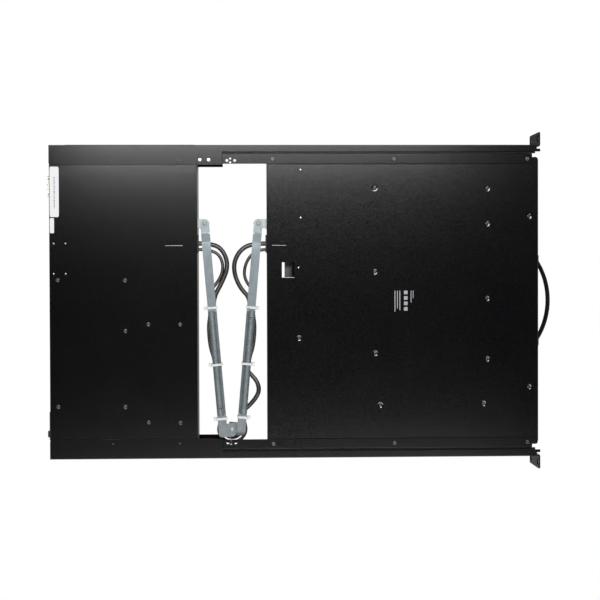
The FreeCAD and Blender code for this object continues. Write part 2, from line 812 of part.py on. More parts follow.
def keyboard_deck():
    """The top plate over the tray: palm rest, key opening and touchpad openings."""
    w, t = tray_half_width, drawer_sheet
    front = tray_front + tray_corner_chamfer + deck_front_setback
    outline = sheet_outline([(front, tray_floor), (front, deck_top), (deck_rear, deck_top),
                             (deck_rear, tray_floor)], -t)
    deck = along_x(outline, -w + t + deck_fit_gap, w - t - deck_fit_gap)
    deck = deck.fuse(box(-w, w, front, deck_rear, deck_bottom, deck_top))
    posts = [disc(x, y, tray_floor + dimple_depth, deck_bottom, deck_post_radius) for x, y in deck_screws]
    deck = deck.multiFuse(posts)
    half = key_area_width / 2 + key_area_margin
    holes = [disc(x, y, tray_floor + dimple_depth, tray_floor + dimple_depth + screw_bite,
                  small_screw_shank_radius) for x, y in deck_screws]
    holes += [box(-half, half, key_area_front - key_area_margin, key_area_rear + key_area_margin,
                 deck_bottom, deck_top),
             box(-touchpad_width / 2, touchpad_width / 2, touchpad_front, touchpad_rear,
                 deck_bottom, deck_top)]
    holes.append(box(-touchpad_width / 2, touchpad_width / 2, touch_button_front, touch_button_rear,
                     deck_bottom, deck_top))
    return cut_all(deck.removeSplitter(), holes)


def key_rows():
    """Key outlines as (x0, x1, y0, y1), row by row from the front; widths are in key units."""
    side = 1.0
    rows = [
        [1.5, 1.25, 1.25, -space_bar_units, 1.25, 1.0, 1.25, 1.25, -0.25, 1, 1, 1, -0.25, 2, 1, 1],
        [2.25] + [side] * 10 + [2.75, -1.25, side, -1.25, side, side, side, side],
        [1.75] + [side] * 11 + [2.25, -3.5, side, side, side, side],
        [1.5] + [side] * 12 + [1.5, -0.25, side, side, side, -0.25, side, side, side, side],
        [side] * 13 + [2.0, -0.25, side, side, side, -0.25, side, side, side, side],
        [side, -0.5] + [side] * 4 + [-0.5] + [side] * 4 + [-0.5] + [side] * 4
        + [-0.5, side, side, side, -0.25, side, side, side, side]]
    keys = []
    for number, row in enumerate(rows):
        y0 = key_area_front + number * key_pitch + (key_row_gap if number == 5 else 0)
        x = -key_area_width / 2
        for width in row:
            if width > 0:
                keys.append((x + key_gap / 2, x + width * key_pitch - key_gap / 2,
                             y0 + key_gap / 2, y0 + key_pitch - key_gap / 2))
            x += abs(width) * key_pitch
    return keys


def keycap(x0, x1, y0, y1, bottom):
    """A keycap: a low skirt that tapers to a smaller top."""
    c = key_top_inset
    lower = Part.makePolygon([V(x0, y0, bottom), V(x1, y0, bottom), V(x1, y1, bottom), V(x0, y1, bottom),
                              V(x0, y0, bottom)])
    upper = Part.makePolygon([V(x0 + c, y0 + c, keycap_top), V(x1 - c, y0 + c, keycap_top),
                              V(x1 - c, y1 - c / 2, keycap_top), V(x0 + c, y1 - c / 2, keycap_top),
                              V(x0 + c, y0 + c, keycap_top)])
    return Part.makeLoft([lower, upper], True, True)


def keycaps():
    return [keycap(x0, x1, y0, y1, key_skirt_bottom) for x0, x1, y0, y1 in key_rows()]


def space_bar_box():
    x0 = -key_area_width / 2 + 4.0 * key_pitch + key_gap / 2
    x1 = x0 + space_bar_units * key_pitch - key_gap
    return x0, x1, key_area_front + key_gap / 2, key_area_front + key_pitch - key_gap / 2


def space_stem_places():
    x0, x1, y0, y1 = space_bar_box()
    return [(x0 + key_pitch, (y0 + y1) / 2), (x1 - key_pitch, (y0 + y1) / 2)]


def space_bar():
    """The space bar, on two stems that slide in the keyboard's floor."""
    bottom = key_skirt_bottom + space_bar_lift
    cap = keycap(*space_bar_box(), bottom)
    stems = [disc(x, y, keyboard_floor - space_stem_reach + space_bar_lift, bottom, space_stem_radius)
             for x, y in space_stem_places()]
    return fused([cap] + stems)


def keyboard_base():
    """The keyboard's pan: floor, rim up to the deck, and bosses down to the tray's dimples."""
    w, t = keyboard_half_width, key_skirt_bottom - keyboard_floor
    outer = box(-w, w, keyboard_front, keyboard_rear, keyboard_floor, deck_bottom)
    inner = box(-w + t, w - t, keyboard_front + t, keyboard_rear - t, key_skirt_bottom, deck_bottom)
    pan = outer.cut(inner)
    bosses = [disc(x, y, tray_floor + dimple_depth, keyboard_floor, keyboard_boss_radius)
              for x, y in keyboard_screws]
    pan = fused([pan] + bosses)
    holes = [disc(x, y, tray_floor + dimple_depth, tray_floor + dimple_depth + screw_bite,
                  small_screw_shank_radius) for x, y in keyboard_screws]
    holes += [disc(x, y, keyboard_floor, key_skirt_bottom, space_stem_radius + stem_clearance)
              for x, y in space_stem_places()]
    return cut_all(pan, holes)


def touchpad():
    """The touchpad: a sensing plate in the deck on a board that also carries the two switches."""
    half = touchpad_width / 2
    plate = box(-half + button_gap, half - button_gap, touchpad_front + button_gap,
                touchpad_rear - button_gap, touchpad_board_top, deck_top - 0.4)
    frame = box(-half - touchpad_frame, half + touchpad_frame, touch_button_front - touchpad_frame,
                touchpad_rear + touchpad_frame / 2, touchpad_board_top - 1.6, touchpad_board_top)
    switches = [box(x - 3, x + 3, (touch_button_front + touch_button_rear) / 2 - 3,
                    (touch_button_front + touch_button_rear) / 2 + 3, touchpad_board_top - 0.1,
                    touchpad_board_top + 0.6) for x in (-half / 2, half / 2)]
    posts = []
    for x in (-half - touchpad_frame / 2, half + touchpad_frame / 2):
        for y in (touch_button_front, touchpad_rear - 1.0):
            posts.append(disc(x, y, touchpad_board_top - 0.1, deck_bottom, 1.2))
    return fused([plate, frame] + switches + posts)


def touch_button(side):
    """One touchpad button, resting just above its switch."""
    x0, x1 = sorted((side * button_gap / 2, side * (touchpad_width / 2 - button_gap)))
    button = box(x0, x1, touch_button_front + button_gap, touch_button_rear - button_gap,
                 touchpad_board_top + 0.6 + touch_button_travel + 0.1, deck_top + touch_button_proud)
    return button


def drawer_screws():
    """Countersunk screws in the strips, and screws in the dimples of the tray."""
    screws = []
    for y in strip_screw_ys:
        x = drawer_side_x - strip_screw_inset
        head = disc(x, y, drawer_side_bottom, drawer_side_bottom + dimple_depth, small_screw_head_radius)
        shank = disc(x, y, drawer_side_bottom, tray_floor, small_screw_shank_radius)
        screws += both_sides(fused([head, shank]))
    for x, y in keyboard_screws + deck_screws:
        head = disc(x, y, tray_bottom, tray_bottom + dimple_depth, small_screw_head_radius)
        shank = disc(x, y, tray_bottom, tray_floor + dimple_depth + screw_bite, small_screw_shank_radius)
        screws.append(fused([head, shank]))
    return screws


# ---- Display lid --------------------------------------------------------------------------------

def catch_window(side):
    """The opening for one catch in the lid's front wall."""
    x0, x1 = side * catch_x, side * (catch_x - catch_travel)
    low, high = min(x0, x1) - catch_width / 2 - catch_gap, max(x0, x1) + catch_width / 2 + catch_gap
    z = (lid_bottom + lid_top) / 2
    return box(low, high, lid_front, lid_front + lid_sheet, z - catch_height / 2 - catch_gap,
               z + catch_height / 2 + catch_gap)


def lid_cover():
    """The lid's shell: a shallow pan, open below, with soft outer edges."""
    w, t = lid_half_width, lid_sheet
    low = lid_bottom + bezel_thickness
    outer = box(-w, w, lid_front, lid_rear, low, lid_top)
    edges = []
    for e in outer.Edges:
        a, b = e.Vertexes[0].Point, e.Vertexes[-1].Point
        if (a.z + b.z) / 2 > low + 0.01:
            edges.append(e)
    outer = outer.makeFillet(lid_edge_radius, edges)
    inner = box(-w + t, w - t, lid_front + t, lid_rear - t, low, lid_top - t)
    cover = outer.cut(inner)
    return cut_all(cover, [catch_window(-1), catch_window(1)])


def osd_button_x(number):
    return osd_first_x + number * osd_button_pitch


def lid_bezel():
    """The frame round the screen, with a bevelled window and holes for the buttons."""
    low, high = lid_bottom, lid_bottom + bezel_thickness
    plate = rounded_slab(-lid_half_width, lid_half_width, lid_front, lid_rear, low, high, lid_edge_radius)
    hw, hh = screen_width / 2, screen_height / 2

    def window(grow, z):
        x, y0, y1 = hw + grow, panel_centre_y - hh - grow, panel_centre_y + hh + grow
        return Part.makePolygon([V(-x, y0, z), V(x, y0, z), V(x, y1, z), V(-x, y1, z), V(-x, y0, z)])

    opening = Part.makeLoft([window(bezel_thickness, low), window(0, high)], True, True)
    holes = [opening]
    for i in range(osd_button_count):
        holes.append(disc(osd_button_x(i), osd_button_y, low, high, osd_button_radius + osd_button_gap))
    return cut_all(plate, holes)


def lcd_panel():
    """The panel: screen glass seen through the bezel, in a flat metal frame."""
    x, y = panel_frame_width / 2, panel_frame_height / 2
    low = lid_bottom + bezel_thickness
    body = box(-x, x, panel_centre_y - y, panel_centre_y + y, low, low + panel_thickness)
    sx, sy = screen_width / 2, screen_height / 2
    recess = box(-sx, sx, panel_centre_y - sy, panel_centre_y + sy, low, low + panel_recess)
    return body.cut(recess)


def display_board():
    """The display driver board on the panel's back, with its connectors."""
    low = lid_bottom + bezel_thickness + panel_thickness
    x0, x1, start, end = display_board_span
    y0, y1 = panel_centre_y + start, panel_centre_y + end
    base = low + display_board_lift
    top = base + display_board_thickness
    board = box(x0, x1, y0, y1, base, top)
    inset = display_post_inset
    posts = [disc(x, y, low, base, display_post_radius)
             for x in (x0 + inset, x1 - inset) for y in (y0 + inset, y1 - inset)]
    parts = [block_on(x0 + x, y0 + y, top, *size) for x, y, *size in display_board_parts]
    return fused([board] + posts + parts)


def lid_bumpers():
    """Soft feet under the lid's corners that rest on the deck."""
    x = lid_half_width - bumper_inset_x
    feet = []
    foot = deck_top + bumper_rest_gap
    for y in (lid_front + bumper_front_inset, lid_rear - bumper_rear_inset):
        feet += both_sides(Part.makeCone(bumper_radius - bumper_taper, bumper_radius, lid_bottom - foot,
                                         V(x, y, foot)))
    return feet


def osd_button(number):
    """One round button in the bezel, backed by a wider collar."""
    x = osd_button_x(number)
    face = lid_bottom - osd_button_proud
    back = lid_bottom + bezel_thickness + osd_collar_gap
    stem = disc(x, osd_button_y, face, back, osd_button_radius)
    collar = disc(x, osd_button_y, back, back + osd_collar_thickness, osd_button_radius + osd_collar_width)
    return fused([stem, collar])


def lid_catch(side):
    """A sliding catch in the lid's front wall, with a wider keeper behind the wall."""
    x, z = side * catch_x, (lid_bottom + lid_top) / 2
    w, h, grow = catch_width / 2, catch_height / 2, catch_keeper_margin
    front, back = lid_front + catch_set_back, lid_front + lid_sheet + running_clearance
    face = box(x - w, x + w, front, back, z - h, z + h)
    keeper = box(x - w - grow, x + w + grow, back, back + catch_thickness, z - h - grow, z + h + grow)
    grooves = []
    for k in (-2, -1, 0, 1, 2):
        middle = x + k * catch_rib_pitch
        grooves.append(box(middle - catch_rib_width / 2, middle + catch_rib_width / 2, front,
                           front + catch_rib_depth, z - h, z + h))
    return cut_all(fused([face, keeper]), grooves)


def hinge_bracket():
    """The fixed half of the right hinge: base on the cross member, web and barrel."""
    x0, x1 = hinge_inner_x, hinge_inner_x + hinge_barrel_length
    barrel = rod((x0, hinge_axis_y, hinge_axis_z), (1, 0, 0), hinge_barrel_length, hinge_barrel_radius)
    front = hinge_axis_y - hinge_base_lead
    base = box(x0, x1, front, tray_rear, cross_member_top, cross_member_top + hinge_base_thickness)
    r = hinge_barrel_radius
    web = along_x([(front, cross_member_top), (hinge_axis_y + hinge_web_depth, cross_member_top),
                   (hinge_axis_y + 0.8 * r, hinge_axis_z + 0.5 * r), (front, hinge_axis_z)], x0, x1)
    bore = rod((x0, hinge_axis_y, hinge_axis_z), (1, 0, 0), hinge_barrel_length,
               hinge_pin_radius + hinge_pin_clearance)
    return fused([barrel, base, web]).cut(bore)


def hinge_knuckle():
    """The lid's half of the right hinge: flange on the lid's rear wall, knuckle and pin."""
    x0 = hinge_inner_x + hinge_barrel_length + hinge_end_gap
    x1 = x0 + hinge_knuckle_length
    r, y, z = hinge_barrel_radius, hinge_axis_y, hinge_axis_z
    knuckle = rod((x0, y, z), (1, 0, 0), hinge_knuckle_length, r)
    tongue = box(x0, x1, lid_rear, y, z - hinge_tongue_below, z + r)
    flange = box(hinge_inner_x, x1, lid_rear, lid_rear + hinge_flange_thickness, z - hinge_flange_below,
                 z + hinge_flange_above)
    start = hinge_inner_x - hinge_end_gap
    pin = rod((start, y, z), (1, 0, 0), x0 + 1 - start, hinge_pin_radius)
    head = rod((start - hinge_head_thickness, y, z), (1, 0, 0), hinge_head_thickness, r - 1)
    return fused([knuckle, tongue, flange, pin, head])


def bow_handle():
    """A flat strip bent to a shallow bow across the lid's front, with a foot at each end."""
    c, h = handle_half_chord, handle_reach
    outer = (c * c + h * h) / (2 * h)
    inner = outer - handle_thickness
    y_centre = lid_front - h + outer
    z0 = handle_centre_z - handle_height / 2
    ring = Part.makeCylinder(outer, handle_height, V(0, y_centre, z0)).cut(
        Part.makeCylinder(inner, handle_height, V(0, y_centre, z0)))
    bow = ring.common(box(-c - 1, c + 1, lid_front - h - 1, lid_front, z0, z0 + handle_height))
    feet = both_sides(box(c - handle_thickness, c + handle_foot_length - handle_thickness,
                          lid_front - handle_thickness / 2, lid_front, z0, z0 + handle_height))
    return fused([bow] + feet)


# ---- Switch module ------------------------------------------------------------------------------

def video_shell_outline(grow):
    """The D-shaped shell's outline in X and Z, wider at its top."""
    w, h, k = video_shell_width / 2 + grow, video_shell_height / 2 + grow, video_shell_taper
    return [(video_x - w + k, video_z - h), (video_x + w - k, video_z - h),
            (video_x + w, video_z + h), (video_x - w, video_z + h)]


def module_tray():
    """The module's folded tray: floor, front and rear walls and side walls, with its openings."""
    w, t = module_half_width, module_sheet
    y0, y1 = module_front, body_depth
    top = module_top - t
    floor = box(-w, w, y0, y1, module_bottom, module_bottom + t)
    front = box(-w, w, y0, y0 + t, module_bottom, top)
    rear = box(-w, w, y1 - t, y1, module_bottom, top)
    sides = both_sides(box(w - t, w, y0, y1, module_bottom, top))
    tray = fused([floor, front, rear] + sides)
    tray = round_bends(tray, module_bend_radius, lambda a, b: same(a.z, b.z, module_bottom)
                       and (same(a.y, b.y, y0) or same(a.y, b.y, y1)))
    (x0, x1), (start, end) = module_slot_span, module_slot_insets
    holes = [box(x0, x1, y0 + start, y0 + end, module_bottom, module_bottom + t)]
    holes += [disc(x, y, module_bottom, module_bottom + t, small_screw_shank_radius)
              for x, y in module_screws]
    for side in (-1, 1):
        x = side * (half_body - wide_flange + flange_screw_inset)
        holes += [disc(x, y, module_bottom, module_bottom + t, small_screw_shank_radius)
                  for y in flange_screw_ys]
        holes += [rod((side * (w - t), y, mid_height), (side, 0, 0), t, web_screw_shank_radius)
                  for y in module_web_screw_ys]
    holes.append(grommet_hole(y0, y0 + t, rear_lead_z))
    holes.append(along_y(video_shell_outline(0), y1 - t, y1))
    holes += [rod((video_x + s * video_screw_half_pitch, y1 - t, video_z), (0, 1, 0), t, 1.5)
              for s in (-1, 1)]
    holes.append(box(inlet_left + inlet_wall, inlet_right - inlet_wall, y1 - t, y1,
                     inlet_bottom + inlet_wall, inlet_top - inlet_wall))
    return cut_all(tray, holes)


def module_cover():
    """The module's lid: a plate with lips that drop inside the tray's walls."""
    w, t = module_half_width, module_sheet
    plate = box(-w, w, module_front, body_depth, module_top - t, module_top)
    lip_x = w - t - cover_lip_gap
    lips = both_sides(box(lip_x - t, lip_x, module_front + cover_lip_inset, body_depth - cover_lip_inset,
                          module_top - t - cover_lip_drop, module_top - t))
    return fused([plate] + lips)


def block_on(x, y, z, length, width, height):
    """A component's body that stands on a board, from its corner."""
    return box(x, x + length, y, y + width, z, z + height)


def board_with_posts(limits):
    """A circuit board on four posts that stand on the module's floor."""
    x0, x1, y0, y1 = limits
    pieces = [box(x0, x1, y0, y1, board_bottom, board_bottom + board_thickness)]
    for x in (x0 + board_post_inset, x1 - board_post_inset):
        for y in (y0 + board_post_inset, y1 - board_post_inset):
            pieces.append(disc(x, y, module_bottom + module_sheet, board_bottom, board_post_radius))
    return pieces


def switch_board():
    """The switch board: processor, memory, sockets for the leads and a row of capacitors."""
    top = board_bottom + board_thickness
    x0, x1, y0, y1 = switch_board_box
    pieces = board_with_posts(switch_board_box)
    pieces += [block_on(x0 + x, y0 + y, top, *size) for x, y, *size in switch_board_left_parts]
    pieces += [block_on(x1 - x, y0 + y, top, *size) for x, y, *size in switch_board_right_parts]
    x, y = capacitor_insets
    pieces += [disc(x0 + x + capacitor_pitch * i, y0 + y, top, top + capacitor_height, capacitor_radius)
               for i in range(capacitor_count)]
    return fused(pieces)


def power_supply():
    """The power supply: board with transformer, heat sinks and a large capacitor."""
    top = board_bottom + board_thickness
    x0, x1, y0, y1 = supply_board_box
    pieces = board_with_posts(supply_board_box)
    pieces += [block_on(x0 + x, y0 + y, top, *size) for x, y, *size in supply_board_parts]
    pieces.append(disc(x1 - supply_capacitor_inset, y1 - supply_capacitor_inset, top,
                       top + supply_capacitor_height, supply_capacitor_radius))
    return fused(pieces)


def video_connector():
    """The video socket: flange, D-shaped shell and two hexagonal posts."""
    y1 = body_depth
    fw, fh = video_flange_width / 2, video_flange_height / 2
    flange = box(video_x - fw, video_x + fw, y1, y1 + 0.8, video_z - fh, video_z + fh)
    shell = along_y(video_shell_outline(-0.1), y1 - 10, y1 + video_reach)
    socket = along_y(video_shell_outline(-0.7), y1 + 1, y1 + video_reach)
    body = fused([flange, shell]).cut(socket)
    core = along_y(video_shell_outline(-1.2), y1 + 0.9, y1 + video_reach - 0.4)
    pin_holes = []
    for row in (-1, 0, 1):
        for i in range(5):
            x = video_x + (i - 2) * 2.3 + (0.6 if row == 0 else 0)
            pin_holes.append(rod((x, y1 + video_reach - 3, video_z + row * 2.0), (0, 1, 0), 3, 0.5))
    body = fused([body, cut_all(core, pin_holes)])
    lead_block = box(video_x - 12, video_x + 12, y1 - 22, y1 - 10, board_bottom + board_thickness,
                     video_z + 4)
    posts = []
    for s in (-1, 1):
        x = video_x + s * video_screw_half_pitch
        hexagon = Part.makePolygon([V(x + 2.6 * math.cos(math.radians(60 * k)), y1 + 0.8,
                                      video_z + 2.6 * math.sin(math.radians(60 * k))) for k in range(7)])
        post = Part.Face(hexagon).extrude(V(0, 4.8, 0)).cut(
            rod((x, y1 + 2.6, video_z), (0, 1, 0), 3.2, 1.3))
        shank = rod((x, y1 - module_sheet, video_z), (0, 1, 0), module_sheet + 0.8, 1.5)
        posts += [post, shank]
    return fused([body, lead_block] + posts)


def rocker_centre():
    """The rocker's pivot, behind the bezel."""
    x = inlet_right - 2 * inlet_wall - rocker_gap - rocker_width / 2
    return x, body_depth + inlet_bezel + 1.0 - rocker_radius * 0.6, (inlet_bottom + inlet_top) / 2


def rocker_face():
    """The rocker's outline about its pivot: a hollow face, with the back narrowed."""
    r, h = rocker_radius * 0.6, rocker_height / 2
    return [(r - 0.6, 0), (r + 1.6, h - 0.6), (r - 2.2, h), (-3.5, 3), (-3.5, -3), (r - 2.2, -h),
            (r + 1.6, 0.6 - h)]


def rocker_reach():
    """How far the tilted rocker reaches above or below its pivot."""
    tilt = math.radians(rocker_tilt)
    return max(dz * math.cos(tilt) + dy * math.sin(tilt) for dy, dz in rocker_face())


def power_inlet():
    """The inlet housing: bezel, recess with three blades, and the window for the rocker."""
    y1 = body_depth
    z = (inlet_bottom + inlet_top) / 2
    bezel = box(inlet_left, inlet_right, y1, y1 + inlet_bezel, inlet_bottom, inlet_top)
    corners = [e for e in bezel.Edges if abs(e.Vertexes[0].Y - e.Vertexes[-1].Y) > 1e-6]
    bezel = bezel.makeFillet(2.0, corners)
    body = box(inlet_left + inlet_wall, inlet_right - inlet_wall, y1 - inlet_body_depth, y1,
               inlet_bottom + inlet_wall, inlet_top - inlet_wall)
    cx = inlet_left + inlet_wall + 0.8 + inlet_recess_width / 2
    w, h, c = inlet_recess_width / 2, inlet_recess_height / 2, inlet_recess_chamfer
    recess = along_y([(cx - w, z - h), (cx + w, z - h), (cx + w, z + h - c), (cx + w - c, z + h),
                      (cx - w + c, z + h), (cx - w, z + h - c)],
                     y1 + inlet_bezel - inlet_recess_depth, y1 + inlet_bezel)
    rx, ry, rz = rocker_centre()
    window = box(rx - rocker_width / 2 - rocker_gap, rx + rocker_width / 2 + rocker_gap,
                 y1 - inlet_body_depth + 4, y1 + inlet_bezel,
                 rz - rocker_reach() - rocker_gap, rz + rocker_reach() + rocker_gap)
    housing = fused([bezel, body]).cut(recess).cut(window)
    blades = [box(cx + dx - 0.9, cx + dx + 0.9, y1 + inlet_bezel - inlet_recess_depth,
                  y1 + inlet_bezel - 3, z + dz - 2, z + dz + 2) for dx, dz in ((-7, -1), (0, 3), (7, -1))]
    pins = both_pivot_stubs(rx, ry, rz)
    return fused([housing] + blades + pins)


def both_pivot_stubs(rx, ry, rz):
    """Two stubs on the window's walls that the rocker turns on."""
    half, reach = rocker_width / 2 + rocker_gap, rocker_stub_reach
    return [rod((x, ry, rz), (1, 0, 0), reach, rocker_stub_radius) for x in (rx - half, rx + half - reach)]


def power_rocker():
    """The mains rocker: a sector with a hollow face, tilted to one side at rest."""
    x, y, z = rocker_centre()
    half = rocker_width / 2
    body = along_x([(y + dy, z + dz) for dy, dz in rocker_face()], x - half, x + half)
    depth = rocker_stub_reach
    body = cut_all(body, [rod((start, y, z), (1, 0, 0), depth, rocker_stub_radius + stem_clearance)
                          for start in (x - half, x + half - depth)])
    body.rotate(V(x, y, z), V(1, 0, 0), rocker_tilt)
    return body


# ---- Cable arm ----------------------------------------------------------------------------------

rear_lead_z = rear_arm_level + arm_sheet + lead_seat + thick_lead_diameter / 2 + 2.0
front_lead_z = front_arm_level + arm_sheet + lead_seat + thick_lead_diameter / 2


def grommet_block(y0, y1, z, grow):
    """A rounded block for a grommet, long in X, between y0 and y1."""
    width, height = grommet_width + 2 * grow, grommet_height + 2 * grow
    block = box(lead_x - width / 2, lead_x + width / 2, y0, y1, z - height / 2, z + height / 2)
    corners = [e for e in block.Edges if abs(e.Vertexes[0].Y - e.Vertexes[-1].Y) > 1e-6]
    return block.makeFillet(grommet_corner_radius, corners)


def grommet_hole(y0, y1, z):
    return grommet_block(y0, y1, z, -grommet_lip_margin)


def lead_places():
    """The thick and the thin lead side by side: (x, diameter)."""
    thick_x = lead_x - lead_offset
    return (thick_x, thick_lead_diameter), (thick_x + lead_spacing, thin_lead_diameter)


def grommet(wall, thickness, outward, z):
    """A rubber grommet: a lip on the outer face of a wall and a neck through it, with two bores."""
    face = wall + outward * grommet_lip
    lip = grommet_block(min(wall, face), max(wall, face), z, 0)
    inner = wall - outward * thickness
    neck = grommet_block(min(wall, inner), max(wall, inner), z, -grommet_lip_margin)
    bores = [rod((x, min(inner, face), z), (0, 1, 0), thickness + grommet_lip, d / 2)
             for x, d in lead_places()]
    return cut_all(fused([lip, neck]), bores)


def arm_bracket(wall, outward, pivot_y):
    """An angle on a wall with a rounded tab over the arm, and the rivet that the arm turns on."""
    low = arm_bracket_level + arm_sheet + running_clearance
    x0, x1 = arm_pivot_x - bracket_width / 2, arm_pivot_x + bracket_width / 2
    y_flange = wall + outward * bracket_sheet
    flange = box(x0, x1, min(wall, y_flange), max(wall, y_flange), low, low + bracket_flange_height)
    tab = box(x0, x1, min(wall, pivot_y), max(wall, pivot_y), low, low + bracket_sheet)
    nose = disc(arm_pivot_x, pivot_y, low, low + bracket_sheet, bracket_width / 2)
    angle = fused([flange, tab, nose])
    angle = angle.cut(disc(arm_pivot_x, pivot_y, low, low + bracket_sheet, arm_rivet_radius))
    bottom = arm_bracket_level - running_clearance
    head = dome(arm_pivot_x, pivot_y, bottom, -1, arm_rivet_head_radius, arm_rivet_head_height)
    shank = disc(arm_pivot_x, pivot_y, bottom, low + bracket_sheet, arm_rivet_radius)
    top = dome(arm_pivot_x, pivot_y, low + bracket_sheet, 1, arm_rivet_head_radius, arm_rivet_head_height)
    return [angle, fused([head, shank, top])]


def dome(x, y, z, way, radius, height):
    """A low rivet head: the cap of a sphere that stands on the level z, up or down."""
    r = (radius * radius + height * height) / (2 * height)
    ball = Part.makeSphere(r, V(x, y, z + way * (height - r)))
    z0, z1 = sorted((z, z + way * height))
    return ball.common(box(x - 2 * radius, x + 2 * radius, y - 2 * radius, y + 2 * radius, z0, z1))


def arm_local(level):
    """An arm lying along +X from its wall pivot, with its outer side to +Y, at a level."""
    half, t = arm_width / 2, arm_sheet
    profile = sheet_outline([(0, arm_bracket_level), (joggle_start, arm_bracket_level), (joggle_end, level),
                             (trough_start, level)], t)
    strip = polygon_face([(x, -half, z) for x, z in profile]).extrude(V(0, arm_width, 0))
    strip = round_bends(strip, joggle_bend_radius, lambda a, b: not same(a.y, b.y) and same(a.x, b.x)
                        and joggle_start - t < a.x < joggle_end + t)
    tongue = disc(0, 0, arm_bracket_level, arm_bracket_level + t, half)
    end = box(trough_end, elbow_plate_start, -half, half, level, level + t)
    low = -elbow_inward - elbow_plate_overhang
    plate = box(elbow_plate_start, elbow_plate_end, low, half, level, level + t)
    far = round_upright_edges(plate, elbow_corner_radius, lambda x, y: same(x, elbow_plate_end))

    # pressed trough between the first and last ties: arc band, end walls, cross ribs and side lip
    centre_y = half - trough_width / 2
    chord = trough_width / 2
    r = (chord * chord + trough_depth * trough_depth) / (2 * trough_depth)
    axis_z = level - trough_depth + r
    length = trough_end - trough_start
    below = box(trough_start, trough_end, centre_y - chord, centre_y + chord,
                level - trough_depth - 1, level + t)

    def arc_band(x0, depth, outer, inner):
        axis = (x0, centre_y, axis_z)
        return rod(axis, (1, 0, 0), depth, outer).cut(rod(axis, (1, 0, 0), depth, inner))

    band = arc_band(trough_start, length, r, r - t).common(below)
    walls = [rod((x0, centre_y, axis_z), (1, 0, 0), t, r).common(below)
             for x0 in (trough_start, trough_end - t)]
    edge = centre_y - chord
    slope = [(-half, level + trough_lip_rise), (edge, level), (edge + trough_rim, level)]
    lip = along_x(sheet_outline(slope, t), trough_start, trough_end)
    lip_ends = [along_x([(-half, level), (edge, level), (edge, level + t),
                         (-half, level + t + trough_lip_rise)], x0, x0 + t)
                for x0 in (trough_start, trough_end - t)]
    rim = box(trough_start, trough_end, half - trough_rim, half, level, level + t)
    ribs = []
    count = int((length - 4 * rib_pitch) / rib_pitch)
    for i in range(count):
        x = trough_start + 2.5 * rib_pitch + i * rib_pitch
        ribs.append(arc_band(x, rib_width, r + rib_height, r - t / 2))
    ribs = [rib.common(box(trough_start, trough_end, centre_y - chord + 0.6, centre_y + chord - 0.6,
                           level - trough_depth - 1, level)) for rib in ribs]
    arm = fused([strip, tongue, end, far, band, lip, rim] + lip_ends + walls + ribs)

    # a notch in the inner edge where the joggle starts, and the hole for the wall rivet
    notch = box(joggle_start, joggle_start + arm_notch_width, -half, -half + arm_notch_depth,
                min(level, arm_bracket_level) - 1, max(level, arm_bracket_level) + 3)
    arm = arm.cut(notch)
    return arm.cut(disc(0, 0, arm_bracket_level, arm_bracket_level + t, arm_rivet_radius + stem_clearance))


def gusset_local(level):
    """The upright web on the arm's inner edge that stiffens the joggle."""
    half, high = arm_width / 2, max(level, arm_bracket_level) + arm_sheet
    slope = (level - arm_bracket_level) / (joggle_end - joggle_start)
    start = joggle_start + arm_notch_width
    z0 = arm_bracket_level + slope * (start - joggle_start) + arm_sheet / 2
    z1 = arm_bracket_level + slope * (gusset_end - joggle_start) + arm_sheet / 2
    outline = [(start, -half, z0), (gusset_end, -half, z1), (gusset_end, -half, high), (start, -half, high)]
    return polygon_face(outline).extrude(V(0, arm_sheet, 0))


def place_arm(shape, side):
    """Turn a local piece to its place; side is +1 for the rear arm and -1 for the front arm."""
    placed = shape.copy()
    if side < 0:
        placed = placed.mirror(V(0, 0, 0), V(0, 1, 0))
    placed.rotate(V(0, 0, 0), V(0, 0, 1), -side * arm_rest_angle)
    placed.translate(V(arm_pivot_x, rear_pivot_y if side > 0 else front_pivot_y, 0))
    return placed


def arm_point(side, along, outward, z):
    """A place beside an arm, in the console's frame."""
    angle = math.radians(-side * arm_rest_angle)
    y = side * outward
    pivot_y = rear_pivot_y if side > 0 else front_pivot_y
    return (arm_pivot_x + along * math.cos(angle) - y * math.sin(angle),
            pivot_y + along * math.sin(angle) + y * math.cos(angle), z)


rear_post_top = rear_arm_level + arm_sheet + 2 * lead_seat + thick_lead_diameter + tie_strap_thickness + 0.1
front_boss_bottom = rear_post_top + elbow_open_gap


def rear_arm():
    """The rear arm, with the hole for the elbow rivet."""
    local = fused([arm_local(rear_arm_level), gusset_local(rear_arm_level)])
    hole = disc(elbow_along, -elbow_inward, rear_arm_level, rear_arm_level + arm_sheet, elbow_rivet_radius)
    return place_arm(local.cut(hole), 1)


def front_arm():
    """The front arm, with the riveted collar that stands just over the elbow rivet's post."""
    collar = disc(elbow_along, -elbow_inward, front_boss_bottom, front_arm_level, elbow_rivet_head_radius)
    head = dome(elbow_along, -elbow_inward, front_arm_level + arm_sheet, 1, elbow_rivet_head_radius,
                arm_rivet_head_height)
    local = fused([arm_local(front_arm_level), gusset_local(front_arm_level), collar, head])
    return place_arm(local, -1)


def elbow_rivet():
    """The elbow rivet in the rear arm: head below, post above up to the front arm's boss."""
    x, y = elbow_along, -elbow_inward
    head = dome(x, y, rear_arm_level, -1, elbow_rivet_head_radius, arm_rivet_head_height)
    shank = disc(x, y, rear_arm_level, rear_arm_level + arm_sheet, elbow_rivet_radius)
    post = disc(x, y, rear_arm_level + arm_sheet, rear_post_top, elbow_rivet_head_radius)
    return place_arm(fused([head, shank, post]), 1)


